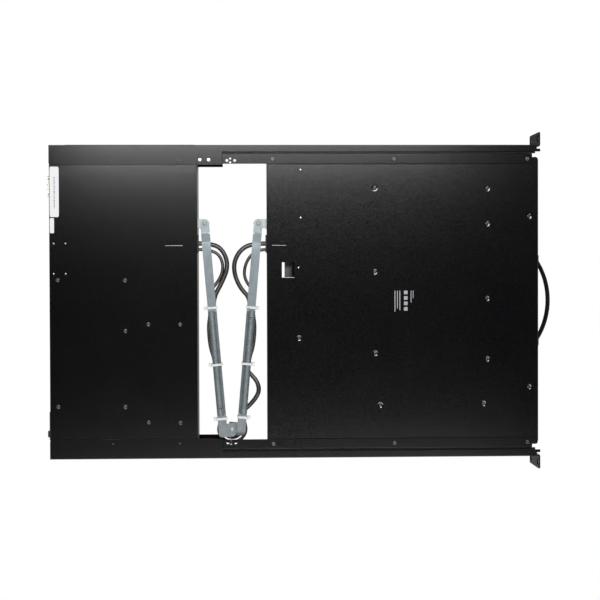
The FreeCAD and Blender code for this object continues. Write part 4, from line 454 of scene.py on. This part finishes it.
def mesh_arrays(mesh):
    """A mesh's places, and its triangles as the numbers of their corners."""
    places = np.empty(len(mesh.vertices) * 3)
    mesh.vertices.foreach_get("co", places)
    mesh.calc_loop_triangles()
    corners = np.empty(len(mesh.loop_triangles) * 3, int)
    mesh.loop_triangles.foreach_get("vertices", corners)
    return places.reshape(-1, 3), corners.reshape(-1, 3)


def solid_boxes(name):
    """The low and high corner of each solid in a CAD node.  Corners at one place share a label,
    and the lowest label spreads over each triangle until none changes."""
    places, corners = mesh_arrays(nodes[name].data)
    merged, index = np.unique(np.round(places, 6), axis=0, return_inverse=True)
    corners = index.ravel()[corners]
    label = np.arange(len(merged))
    while True:
        spreading = label.copy()
        np.minimum.at(spreading, corners, label[corners].min(axis=1)[:, None])
        if (spreading == label).all():
            break
        label = spreading
    return [(merged[label == one].min(axis=0), merged[label == one].max(axis=0))
            for one in np.unique(label)]


# ---- Screws -------------------------------------------------------------------------------------

WEB_HEAD, HEAD, SEAT = 0.7 * MM, 0.6 * MM, 0.15 * MM
LONG_SCREW = 4.5 * MM


def screw_rings(radius, head, length, recess):
    """A cross-recess screw about its own axis, head up from z = 0, shank down to -length.
    Each ring is a circle, or the cross r = min(long / cos t, wide / sin t) with t measured from
    the nearest arm, so a ring is a closed curve r(t) at one height.  The recess comes first, then
    the domed head and the shank, whose radius is half the head's."""
    around = 48
    angle = 2 * np.pi * np.arange(around) / around
    nearest = np.abs((angle + np.pi / 4) % (np.pi / 2) - np.pi / 4)
    cross = radius * np.minimum(0.58 / np.cos(nearest), 0.17 / np.maximum(np.sin(nearest), 1e-6))
    circle = np.ones(around)
    rings = [(0 * circle, head - recess), (0.55 * cross, head - recess), (cross, head - 0.05 * recess),
             (1.12 * cross, head), (0.72 * radius * circle, head), (0.9 * radius * circle, 0.9 * head),
             (radius * circle, 0.6 * head), (radius * circle, 0.0), (0.5 * radius * circle, 0.0),
             (0.5 * radius * circle, -length), (0 * circle, -length)]
    return np.stack([np.stack([r * np.cos(angle), r * np.sin(angle), np.full(around, z)], axis=1)
                     for r, z in rings])


def screw_piece(name, node, body):
    """Cross-recess screws in place of a node's plain ones.  Heads face down, or outward on the
    web's screws, which lie along X and so are as wide as they are high.  The long screws' heads
    are smaller and sunk in their dimples."""
    shapes = []
    for low, high in solid_boxes(node):
        size, middle = high - low, (low + high) / 2
        radius = size[1] / 2
        if abs(size[1] - size[2]) < 0.1 * MM:
            side = np.sign(middle[0])
            outer = high[0] if side > 0 else low[0]
            shape = screw_rings(radius, WEB_HEAD, size[0] - WEB_HEAD, 0.5 * MM)
            shape = np.stack([outer - side * (WEB_HEAD - shape[..., 2]), middle[1] + shape[..., 0],
                              middle[2] + shape[..., 1]], axis=-1)
        else:
            share, sunk = (0.76, SEAT) if size[2] > LONG_SCREW else (1.0, 0.0)
            shape = screw_rings(share * radius, HEAD - sunk, size[2] - HEAD, 0.4 * MM)
            shape = np.stack([middle[0] + shape[..., 0], middle[1] + shape[..., 1],
                              low[2] + HEAD - shape[..., 2]], axis=-1)
        shapes.append(shape)
    stacked = np.stack(shapes)
    faces = grid_faces(len(shapes), stacked.shape[1], stacked.shape[2])
    piece = add_piece(name, stacked, faces, screw_black, body, 30.0)
    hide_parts(node)
    return piece


screw_piece("drawer_cross_screws", "drawer_screws", "drawer")
screw_piece("chassis_cross_screws", "chassis_screws", "chassis")


# ---- Pressed dimples and rolled edges ------------------------------------------------------------

def turned(places, profile, around=32):
    """Round solids: a profile of (radius, height) is turned about the Z axis through each place,
    so that a point is (x + r cos t, y + r sin t, z + h)."""
    angle = 2 * np.pi * np.arange(around) / around
    radius, height = (np.array(column)[:, None] for column in zip(*profile))
    ring = np.stack([radius * np.cos(angle), radius * np.sin(angle), height + 0 * angle], axis=-1)
    stacked = np.asarray(places, float)[:, None, None, :] + ring[None]
    return stacked, grid_faces(len(stacked), len(profile), around)


module_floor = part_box("switch_module_tray")[0].z
tray_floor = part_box("drawer_tray")[0].z
MODULE_SHEET, TRAY_SHEET = 1.0 * MM, 1.2 * MM

# under each long screw the pressed dimple's sharp wall is eased into the sheet by a curved slope
dimple_places = [((low[0] + high[0]) / 2, (low[1] + high[1]) / 2, tray_floor)
                 for low, high in solid_boxes("drawer_screws") if high[2] - low[2] > LONG_SCREW]
DIMPLE_SLOPE = [(4.56 * MM, 0.02 * MM), (4.1 * MM, 0.06 * MM), (3.6 * MM, 0.14 * MM), (3.1 * MM, 0.27 * MM),
                (2.65 * MM, 0.43 * MM), (2.35 * MM, 0.57 * MM), (4.56 * MM, 0.57 * MM),
                (4.56 * MM, 0.02 * MM)]
rims, rim_faces = turned(dimple_places, DIMPLE_SLOPE)
add_piece("dimple_slopes", rims, rim_faces, panel_coat, "drawer", 45.0)


def rolled_edge(name, openings, level, body):
    """The rounding that the punch leaves on an opening's long edge: a strip whose section is the
    arc (-R sin t, R - R cos t) with R = 3 mm and t up to 22 degrees, closed by two flat sides.
    Openings are ((x0, x1), (y0, y1)), and the strip lies along the x1 edge; it starts and ends
    drawn in to a fiftieth."""
    turn = np.radians(np.linspace(0, 22, 7))
    section = 3.0 * MM * np.column_stack([-np.sin(turn), 1 - np.cos(turn)])
    section = np.concatenate([section, [(section[-1, 0], 0.6 * MM), (0.0, 0.6 * MM)]])
    blocks = []
    for (_, edge), (y0, y1) in openings:
        x = edge - 0.01 * MM
        rows = [(y0 + 0.05 * MM, 0.02), (y0 + 0.05 * MM, 1), (y1 - 0.05 * MM, 1), (y1 - 0.05 * MM, 0.02)]
        ends = [np.column_stack([x + section[:, 0] * share, np.full(len(section), y), level + section[:, 1]])
                for y, share in rows]
        blocks.append(np.stack(ends))
    stacked = np.stack(blocks)
    add_piece(name, stacked, grid_faces(len(blocks), 4, len(section)), panel_coat, body,
              40.0)


# the lead slots and the tray's window, as (x0, x1), (y0, y1)
MODULE_SLOT = (-86.0 * MM, -79.7 * MM), (511.1 * MM, 535.5 * MM)
TRAY_SLOT = (-85.4 * MM, -79.7 * MM), (363.8 * MM, 384.1 * MM)
TRAY_WINDOW = (-56.0 * MM, -33.7 * MM), (352.3 * MM, 370.0 * MM)
rolled_edge("module_slot_edge", [MODULE_SLOT], module_floor, "chassis")
rolled_edge("tray_opening_edges", [TRAY_SLOT, TRAY_WINDOW], tray_floor, "drawer")


# ---- Labels and printed marks -------------------------------------------------------------------

def film(name, boxes, level, thickness, material, body, power=14.0):
    """Thin films on a face that looks down: patches from (x0, x1, y0, y1), each a superellipse
    block of four rings, whose corners are the squarer the higher its power."""
    corners = np.array(boxes, float)
    centres = np.stack([corners[:, :2].mean(axis=1), corners[:, 2:].mean(axis=1)], axis=1)
    halves = np.stack([np.ptp(corners[:, :2], axis=1), np.ptp(corners[:, 2:], axis=1)], axis=1) / 2
    steps = [(0, 0, level), (1, 0, level), (1, 0.1 * thickness, level - thickness), (0, 0, level - thickness)]
    vertices, faces = ringed_blocks(centres, halves, steps, power, 24)
    return add_piece(name, vertices, faces, material, body)


LABEL, PRINT = 0.12 * MM, 0.03 * MM
module_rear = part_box("switch_module_tray")[1].y
film("rear_label", [(-192.5 * MM, -121.0 * MM, module_rear - 14.0 * MM, module_rear - 1.0 * MM)],
     module_floor, LABEL, paper, "chassis")
film("small_label", [(-119.6 * MM, -98.3 * MM, module_rear - 7.1 * MM, module_rear - 1.0 * MM)],
     module_floor, LABEL, paper, "chassis")


def label_bars():
    """One row of plain short bars on the larger label, each 1 to 5 steps of 0.8 mm wide, with
    gaps of 0.7 mm."""
    widths = np.array([3, 1, 2, 4, 1, 3, 2, 1, 5, 2, 1, 3, 1, 4, 2, 2, 3, 1]) * 0.8 * MM
    starts = -178 * MM + np.concatenate([[0], np.cumsum(widths + 0.7 * MM)[:-1]])
    return [(x, x + w, module_rear - 8.3 * MM, module_rear - 6.8 * MM) for x, w in zip(starts, widths)]


film("rear_label_bars", label_bars(), module_floor - LABEL, PRINT, ink_dark, "chassis")


def tray_marks():
    """A plain printed block on the drawer's underside: three bars over a row of small squares and
    two thinner bars, all from one left edge."""
    left, pitch, square = -15.0 * MM, 7.8 * MM, 5.2 * MM
    bars = [(left, left + length * MM, y * MM, (y + thick) * MM) for length, y, thick in (
        (30.0, 208.0, 1.2), (25.5, 204.5, 1.2), (27.8, 201.0, 1.2), (17.0, 185.0, 1.0), (11.0, 182.0, 1.0))]
    squares = [(left + k * pitch, left + k * pitch + square, 190.5 * MM, 190.5 * MM + square)
               for k in range(4)]
    return bars[:3] + squares + bars[3:]


film("tray_print", tray_marks(), tray_floor, PRINT, ink_grey, "drawer")

# painted shadow: black film lines where the tray's edges meet the drawer's side strips
strip_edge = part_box("right_drawer_side")[0].x
tray_low, tray_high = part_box("drawer_tray")
shadow_line_x = (strip_edge - 0.9 * MM, strip_edge - 0.02 * MM)
shadow_line_y = (tray_low.y + 2.2 * MM, tray_high.y - 1.2 * MM)
film("tray_edge_painted_shadow", [shadow_line_x + shadow_line_y, (-shadow_line_x[1], -shadow_line_x[0]) + shadow_line_y], tray_floor - 0.01 * MM, PRINT,
     painted_shade_film, "drawer", 60.0)


def painted_slot_shade(name, slot, level, body):
    """Painted shade: a black film that closes a lead slot, just inside its edges and level with the
    sheet's inner face, so that the slot shows as dark shadow."""
    patch = [edge + inset for span in slot for edge, inset in zip(span, (0.02 * MM, -0.02 * MM))]
    film(name, [patch], level - 0.03 * MM, 0.15 * MM, painted_shade_film, body, 80.0)


painted_slot_shade("module_slot_painted_shade", MODULE_SLOT, module_floor + MODULE_SHEET, "chassis")
painted_slot_shade("tray_slot_painted_shade", TRAY_SLOT, tray_floor + TRAY_SHEET, "drawer")

# flush studs pressed into the sheets: small bright rings in the module's corner and along the tray
STUD = [(0.0, 0.0), (1.1 * MM, 0.0), (1.1 * MM, -0.06 * MM), (0.9 * MM, -0.12 * MM), (0.0, -0.08 * MM)]
module_studs = [(x, y, module_floor) for x in (-83.5 * MM, -40.5 * MM) for y in (693.9 * MM, 677.1 * MM)]
tray_studs = [(x * MM, y * MM, tray_floor) for x, y in ((-187.9, 343.2), (-119.5, 343.2), (-48.2, 346.3))]
studs, stud_faces = turned(module_studs, STUD, 20)
add_piece("module_studs", studs, stud_faces, stud_metal, "chassis", 40.0)
studs, stud_faces = turned(tray_studs, STUD, 20)
add_piece("tray_studs", studs, stud_faces, stud_metal, "drawer", 40.0)


# ---- Display ------------------------------------------------------------------------------------

def screen():
    """The glass in the panel's front recess: a flat superellipse plate with softened edges, 0.4 mm
    clear of the recess all round."""
    low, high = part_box("lcd_panel")
    back, edge, face = low.z + 0.8 * MM, low.z + 0.25 * MM, low.z + 0.08 * MM
    half = (376.3 * MM / 2 - 0.4 * MM, 301.1 * MM / 2 - 0.4 * MM)
    centre = ((low.x + high.x) / 2, (low.y + high.y) / 2)
    steps = [(0, 0, back), (1, 0, back), (1, 0, edge), (1, 0.2 * MM, face), (0, 0, face)]
    vertices, faces = ringed_blocks([centre], [half], steps, 60.0, 64)
    return add_piece("screen_glass", vertices, faces, glass, "lid", 20.0)


screen()


# ---- Keyboard -----------------------------------------------------------------------------------

key_boxes = sorted(solid_boxes("keycaps"), key=lambda pair: (round(pair[0][1], 3), pair[0][0]))
key_centres = np.array([[(low[0] + high[0]) / 2, (low[1] + high[1]) / 2] for low, high in key_boxes])
key_halves = np.array([[(high[0] - low[0]) / 2, (high[1] - low[1]) / 2] for low, high in key_boxes])
key_bottom, key_top = key_boxes[0][0][2], key_boxes[0][1][2]
KEY_DISH, KEY_SLOPE = 0.45 * MM, 2.2 * MM


def key_steps(bottom, top):
    """Levels of one keycap, as (share, inset, height): skirt, tapering wall, rounded rim, and a top
    that falls from the rim by the dish times 1 - r^2, with r the share."""
    return [(0, 0, bottom), (1, 0.3 * MM, bottom), (1, 0, bottom + 0.4 * MM),
            (1, 1.35 * MM, top - 0.9 * MM), (1, 1.75 * MM, top - 0.15 * MM), (1, KEY_SLOPE, top),
            (0.6, KEY_SLOPE, top - 0.64 * KEY_DISH), (0, 0, top - KEY_DISH)]


caps, cap_faces = ringed_blocks(key_centres, key_halves, key_steps(key_bottom, key_top), 7.0, 20)
key_piece = add_piece("dished_keycaps", caps, cap_faces, key_plastic, "drawer", 50.0)
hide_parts("keycaps")

# row by row from the space bar's row up; the space bar itself has no legend
LEGENDS = [
    ["Ctrl", "", "Alt", "Alt", "", "", "Ctrl", "<", "v", ">", "0", ".", ""],
    ["Shift"] + list("ZXCVBNM,./") + ["Shift", "^", "1", "2", "3", "Ent"],
    ["Caps"] + list("ASDFGHJKL;'") + ["Enter", "4", "5", "6", "+"],
    ["Tab"] + list("QWERTYUIOP[]") + ["\\", "Del", "End", "PgDn", "7", "8", "9", "+"],
    list("`1234567890-=") + ["Back", "Ins", "Home", "PgUp", "Num", "/", "*", "-"],
    ["Esc"] + ["F%d" % number for number in range(1, 13)] + ["Prt", "Scr", "Brk", "", "", "", ""]]


def key_legends():
    """Printed legends: each is set as text, made a mesh and laid on its key's dished top, whose
    height falls from the rim by the dish times one less the squared distance from the centre."""
    vertices, faces, count = [], [], 0
    legends = [word for row in LEGENDS for word in row]
    for word, centre, half in zip(legends, key_centres, key_halves):
        if not word:
            continue
        curve = bpy.data.curves.new("legend", "FONT")
        curve.body = word
        curve.size = 4.4 * MM if len(word) == 1 else 3.2 * MM
        curve.resolution_u = 2
        text = bpy.data.objects.new("legend", curve)
        bpy.context.scene.collection.objects.link(text)
        flat = bpy.data.meshes.new_from_object(text.evaluated_get(bpy.context.evaluated_depsgraph_get()))
        places, corners = mesh_arrays(flat)
        places[:, :2] += centre + np.array([-half[0] + 3.2 * MM, half[1] - 7.2 * MM])
        reach = np.linalg.norm((places[:, :2] - centre) / (half - KEY_SLOPE), axis=1).clip(0, 1)
        places[:, 2] = key_top - KEY_DISH * (1 - reach ** 2) + 0.06 * MM
        vertices.append(places)
        faces.append(count + corners)
        count += len(places)
        bpy.data.objects.remove(text)
    mesh = bpy.data.meshes.new("key_legends")
    mesh.from_pydata(np.concatenate(vertices).tolist(), [], np.concatenate(faces).tolist())
    mesh.materials.append(ink_white)
    piece = bpy.data.objects.new("key_legends", mesh)
    bpy.context.scene.collection.objects.link(piece)
    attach(piece, "drawer")


key_legends()


# ---- Leads --------------------------------------------------------------------------------------

# the leads' diameters, their distances from an arm's middle line and their heights on each arm,
# and the ties' distances from an arm's wall pivot
THICK, THIN = 6.6 * MM, 4.6 * MM
THICK_LANE, THIN_LANE = -2.55 * MM, 3.55 * MM
REAR_THICK_Z, REAR_THIN_Z = -13.5 * MM, -14.5 * MM
FRONT_THICK_Z, FRONT_THIN_Z = -1.5 * MM, -2.5 * MM
FIRST_TIE, MIDDLE_TIE, LAST_TIE = 120.9 * MM, 202.3 * MM, 280.0 * MM


def arm_place(side, along, outward, z):
    """A place beside an arm: along it from its wall pivot, and out from its middle line."""
    pivot, tilt = arm_frame(side)
    across = side * outward
    return (pivot.x + along * math.cos(tilt) - across * math.sin(tilt),
            pivot.y + along * math.sin(tilt) + across * math.cos(tilt), z)


def lead(name, route, diameter, body=None, blend=None):
    """A lead: a round section carried along the smooth spline that its route's points steer."""
    curve = bpy.data.curves.new(name, "CURVE")
    curve.dimensions = "3D"
    curve.bevel_depth = diameter / 2
    curve.bevel_resolution = 5
    curve.resolution_u = 10
    curve.use_fill_caps = True
    spline = curve.splines.new("NURBS")
    spline.points.add(len(route) - 1)
    spline.points.foreach_set("co", np.column_stack([np.array(route), np.ones(len(route))]).ravel())
    spline.order_u = 3
    spline.use_endpoint_u = True
    holder = bpy.data.objects.new(name, curve)
    bpy.context.scene.collection.objects.link(holder)
    mesh = bpy.data.meshes.new_from_object(holder.evaluated_get(bpy.context.evaluated_depsgraph_get()))
    bpy.data.objects.remove(holder)
    piece = dress(name, mesh, jacket, body, 60.0)
    if blend:
        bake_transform(piece)
    return piece


# the loops start inside the grommets' outer faces and end under the first ties
wall_rear, wall_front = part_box("rear_grommet")[1].y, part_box("front_grommet")[0].y
GROMMET_THICK_X, GROMMET_THIN_X = -83.4 * MM, -74.8 * MM
REAR_LEAD_Z, FRONT_LEAD_Z = -11.5 * MM, -1.5 * MM

rear_thick = [(GROMMET_THICK_X, wall_rear, REAR_LEAD_Z), (GROMMET_THICK_X, 0.468, REAR_LEAD_Z),
              (-0.072, 0.4525, -0.0118), (-0.050, 0.4468, -0.0122), (-0.028, 0.4555, -0.0128),
              arm_place(1, FIRST_TIE - 0.013, THICK_LANE, REAR_THICK_Z),
              arm_place(1, FIRST_TIE, THICK_LANE, REAR_THICK_Z)]
rear_thin = [(GROMMET_THIN_X, wall_rear, REAR_LEAD_Z), (GROMMET_THIN_X, 0.476, REAR_LEAD_Z),
             (-0.068, 0.4591, -0.0122), (-0.050, 0.4532, -0.0130), (-0.0325, 0.4584, -0.0137),
             arm_place(1, FIRST_TIE - 0.021, THIN_LANE, REAR_THIN_Z),
             arm_place(1, FIRST_TIE, THIN_LANE, REAR_THIN_Z)]
front_thick = [(GROMMET_THICK_X, wall_front, FRONT_LEAD_Z), (GROMMET_THICK_X, 0.411, FRONT_LEAD_Z),
               (-0.076, 0.428, -0.0013), (-0.058, 0.4388, -0.0011), (-0.038, 0.438, -0.0011),
               (-0.018, 0.4288, -0.0013), arm_place(-1, FIRST_TIE - 0.013, THICK_LANE, FRONT_THICK_Z),
               arm_place(-1, FIRST_TIE, THICK_LANE, FRONT_THICK_Z)]
front_thin = [(GROMMET_THIN_X, wall_front, FRONT_LEAD_Z), (GROMMET_THIN_X, 0.402, FRONT_LEAD_Z),
              (-0.066, 0.4155, -0.0017), (-0.050, 0.4236, -0.0019), (-0.032, 0.4238, -0.0021),
              arm_place(-1, FIRST_TIE - 0.021, THIN_LANE, FRONT_THIN_Z),
              arm_place(-1, FIRST_TIE, THIN_LANE, FRONT_THIN_Z)]

rear_bend = ("chassis", "rear_arm", rear_thick[0], rear_thick[-1])
front_bend = ("drawer", "front_arm", front_thick[0], front_thick[-1])
loop = lead("rear_loop_thick_lead", rear_thick, THICK, blend=rear_bend)
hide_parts("rear_loop_leads")
lead("rear_loop_thin_lead", rear_thin, THIN, blend=rear_bend)
loop = lead("front_loop_thick_lead", front_thick, THICK, blend=front_bend)
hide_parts("front_loop_leads")
lead("front_loop_thin_lead", front_thin, THIN, blend=front_bend)


def arm_thin_route(side, z):
    """The thin lead along an arm: it stands off the outer edge between the first two ties."""
    steps = [(FIRST_TIE, 0), (FIRST_TIE + 0.008, 0), (FIRST_TIE + 0.026, 4.5 * MM),
             (MIDDLE_TIE - 0.026, 4.6 * MM), (MIDDLE_TIE - 0.008, 0), (MIDDLE_TIE + 0.025, -0.1 * MM),
             (LAST_TIE - 0.015, 0), (LAST_TIE, 0)]
    return [arm_place(side, along, THIN_LANE + off, z) for along, off in steps]


rear_run = [arm_place(1, along, THICK_LANE + off, REAR_THICK_Z) for along, off in (
    (FIRST_TIE, 0), (FIRST_TIE + 0.015, 0), (FIRST_TIE + 0.050, 0.3 * MM), (LAST_TIE - 0.050, -0.2 * MM),
    (LAST_TIE - 0.015, 0), (LAST_TIE, 0))]
# past the middle tie the front arm's thick lead bows out over the thin one and comes back
over = FRONT_THICK_Z + 5.0 * MM
front_run = [arm_place(-1, along, outward * MM, z) for along, outward, z in (
    (FIRST_TIE, -2.55, FRONT_THICK_Z), (FIRST_TIE + 0.015, -2.55, FRONT_THICK_Z),
    (FIRST_TIE + 0.050, -2.25, FRONT_THICK_Z), (MIDDLE_TIE + 0.002, -2.55, FRONT_THICK_Z),
    (MIDDLE_TIE + 0.008, -0.5, over), (MIDDLE_TIE + 0.016, 8, over),
    (MIDDLE_TIE + 0.025, 17.5, FRONT_THICK_Z + 2 * MM), (MIDDLE_TIE + 0.037, 21.5, FRONT_THICK_Z + MM),
    (MIDDLE_TIE + 0.048, 18, FRONT_THICK_Z + 1.5 * MM), (MIDDLE_TIE + 0.061, 9, over),
    (MIDDLE_TIE + 0.069, 0.5, over), (MIDDLE_TIE + 0.074, -2.55, FRONT_THICK_Z),
    (LAST_TIE, -2.55, FRONT_THICK_Z))]
run = lead("rear_arm_thick_lead", rear_run, THICK, "rear_arm")
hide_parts("rear_arm_leads")
lead("rear_arm_thin_lead", arm_thin_route(1, REAR_THIN_Z), THIN, "rear_arm")
run = lead("front_arm_thick_lead", front_run, THICK, "front_arm")
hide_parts("front_arm_leads")
lead("front_arm_thin_lead", arm_thin_route(-1, FRONT_THIN_Z), THIN, "front_arm")


# how far past the middle the halves meet, and the height and radius of each lead's bend
MEETING = math.radians(12)
THICK_ARC_Z, THIN_ARC_Z = -0.9 * MM, -1.9 * MM
THICK_BEND, THIN_BEND = 13.0 * MM, 20.0 * MM


def elbow_half(side, lane, start_z, arc_z, radius):
    """Half of the bend round the elbow: along the arm's lane, up to the level of the arc, and
    about a quarter turn, (x + R cos t, y + R sin t) about the elbow's axis, so that both halves
    share one circle wherever the arms' ends meet.  The rear half stops MEETING short and the
    front one goes as much further, to clear the arms.  The spline runs inside its points, so R is
    the bend's radius over cos of half a step."""
    straight = [arm_place(side, LAST_TIE, lane, start_z), arm_place(side, LAST_TIE + 0.005, lane, start_z)]
    inward = arm_place(side, ELBOW_ALONG, -ELBOW_INWARD, 0)
    outer = arm_place(side, ELBOW_ALONG, -ELBOW_INWARD + 0.01, 0)
    first = math.atan2(outer[1] - inward[1], outer[0] - inward[0])
    turns = np.linspace(0, abs(first) - side * MEETING, 5)
    angles = first - side * turns
    reach = radius / math.cos(turns[1] / 2)
    arc = np.column_stack([inward[0] + reach * np.cos(angles), inward[1] + reach * np.sin(angles),
                           np.full(len(angles), arc_z)])
    return straight + arc.tolist()


half = lead("elbow_thick_rear_half", elbow_half(1, THICK_LANE, REAR_THICK_Z, THICK_ARC_Z, THICK_BEND), THICK,
            "rear_arm")
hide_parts("elbow_leads")
lead("elbow_thin_rear_half", elbow_half(1, THIN_LANE, REAR_THIN_Z, THIN_ARC_Z, THIN_BEND), THIN, "rear_arm")
lead("elbow_thick_front_half", elbow_half(-1, THICK_LANE, FRONT_THICK_Z, THICK_ARC_Z, THICK_BEND), THICK,
     "front_arm")
lead("elbow_thin_front_half", elbow_half(-1, THIN_LANE, FRONT_THIN_Z, THIN_ARC_Z, THIN_BEND), THIN,
     "front_arm")


# ---- Stage, lamps and camera --------------------------------------------------------------------

def pale_floor():
    """A pale floor under the drawer that shows only from above, so that the console can be seen
    from below against the pale surround; light passes it, and it keeps the drawer's shadow."""
    size, level = 12.0, cad_low.z - 0.2 * MM
    mesh = bpy.data.meshes.new("floor")
    mesh.from_pydata([(-size, -size, level), (size, -size, level), (size, size, level),
                      (-size, size, level)], [], [(0, 1, 2, 3)])
    floor = bpy.data.objects.new("floor", mesh)
    bpy.context.scene.collection.objects.link(floor)
    material, tree = new_material("matt_floor")
    seen = add_node(tree, "ShaderNodeLightPath").outputs["Is Camera Ray"]
    below = add_node(tree, "ShaderNodeNewGeometry").outputs["Backfacing"]
    above = add_node(tree, "ShaderNodeMath", {0: 1.0, 1: below}, operation="SUBTRACT")
    shown = add_node(tree, "ShaderNodeMath", {0: seen, 1: above}, operation="MULTIPLY")
    mottle = add_node(tree, "ShaderNodeValToRGB", {"Fac": lumps(tree, 250 * MM, 3.0)})
    for stop, position, tone in zip(mottle.color_ramp.elements, (0.3, 0.7), ("#eeeeec", "#f3f3f1")):
        stop.position = position
        stop.color = linear(tone)
    matt = add_node(tree, "ShaderNodeBsdfDiffuse", {"Color": mottle})
    clear = add_node(tree, "ShaderNodeBsdfTransparent")
    mixed = add_node(tree, "ShaderNodeMixShader", {0: shown, 1: clear, 2: matt})
    add_node(tree, "ShaderNodeOutputMaterial", {"Surface": mixed})
    mesh.materials.append(material)


def surround():
    """The world: white where the camera or clear things look, pale in reflections from above,
    dim below, and a weak even light for everything else."""
    world = bpy.data.worlds.new("surround")
    bpy.context.scene.world = world
    world.use_nodes = True
    tree = world.node_tree
    tree.nodes.clear()
    path = add_node(tree, "ShaderNodeLightPath").outputs
    seen = add_node(tree, "ShaderNodeMath", {0: path["Is Camera Ray"], 1: path["Is Transmission Ray"]},
                    operation="MAXIMUM")
    height = add_node(tree, "ShaderNodeSeparateXYZ", {
        "Vector": add_node(tree, "ShaderNodeTexCoord").outputs["Generated"]}).outputs["Z"]
    upward = add_node(tree, "ShaderNodeMapRange", {
        "Value": height, "From Min": -0.95, "From Max": 0.0, "To Min": 0.0, "To Max": 0.5})
    mirrored = add_node(tree, "ShaderNodeMath", {0: path["Is Glossy Ray"], 1: upward, 2: 0.03},
                        operation="MULTIPLY_ADD")
    strength = add_node(tree, "ShaderNodeMath", {0: seen, 1: mirrored}, operation="MAXIMUM")
    light = add_node(tree, "ShaderNodeBackground", {"Color": linear("#ffffff"), "Strength": strength})
    add_node(tree, "ShaderNodeOutputWorld", {"Surface": light})


def softbox(name, place, size, power):
    """An area lamp, size wide along X and long along Y, that faces the middle of the console."""
    lamp = bpy.data.lights.new(name, "AREA")
    lamp.shape = "RECTANGLE"
    lamp.size, lamp.size_y = size
    lamp.energy = power
    holder = bpy.data.objects.new(name, lamp)
    holder.location = place
    middle = (cad_low + cad_high) / 2
    holder.rotation_euler = (middle - Vector(place)).to_track_quat("-Z", "X").to_euler()
    holder.visible_camera = False
    bpy.context.scene.collection.objects.link(holder)


def add_camera():
    """A camera under the console that looks up, with the front edge to the right."""
    data = bpy.data.cameras.new("camera")
    data.lens = 54.72
    data.shift_x, data.shift_y = 0.05, -0.0333
    camera = bpy.data.objects.new("camera", data)
    camera.location = (-0.0441, 0.4143, -1.3194)
    camera.rotation_euler = [math.radians(turn) for turn in (179.42, 1.20, -89.81)]
    bpy.context.scene.collection.objects.link(camera)
    bpy.context.scene.camera = camera


pale_floor()
surround()
softbox("under_key", (-0.75, 0.38, -1.70), (0.5, 1.3), 60)
softbox("under_fill", (0.95, 0.30, -1.70), (0.4, 1.6), 30)
softbox("over_key", (-1.10, -1.30, 2.00), (1.4, 1.4), 45)
softbox("over_fill", (1.50, 1.30, 1.70), (1.4, 1.4), 22)
add_camera()
bpy.context.scene.view_settings.view_transform = "Standard"
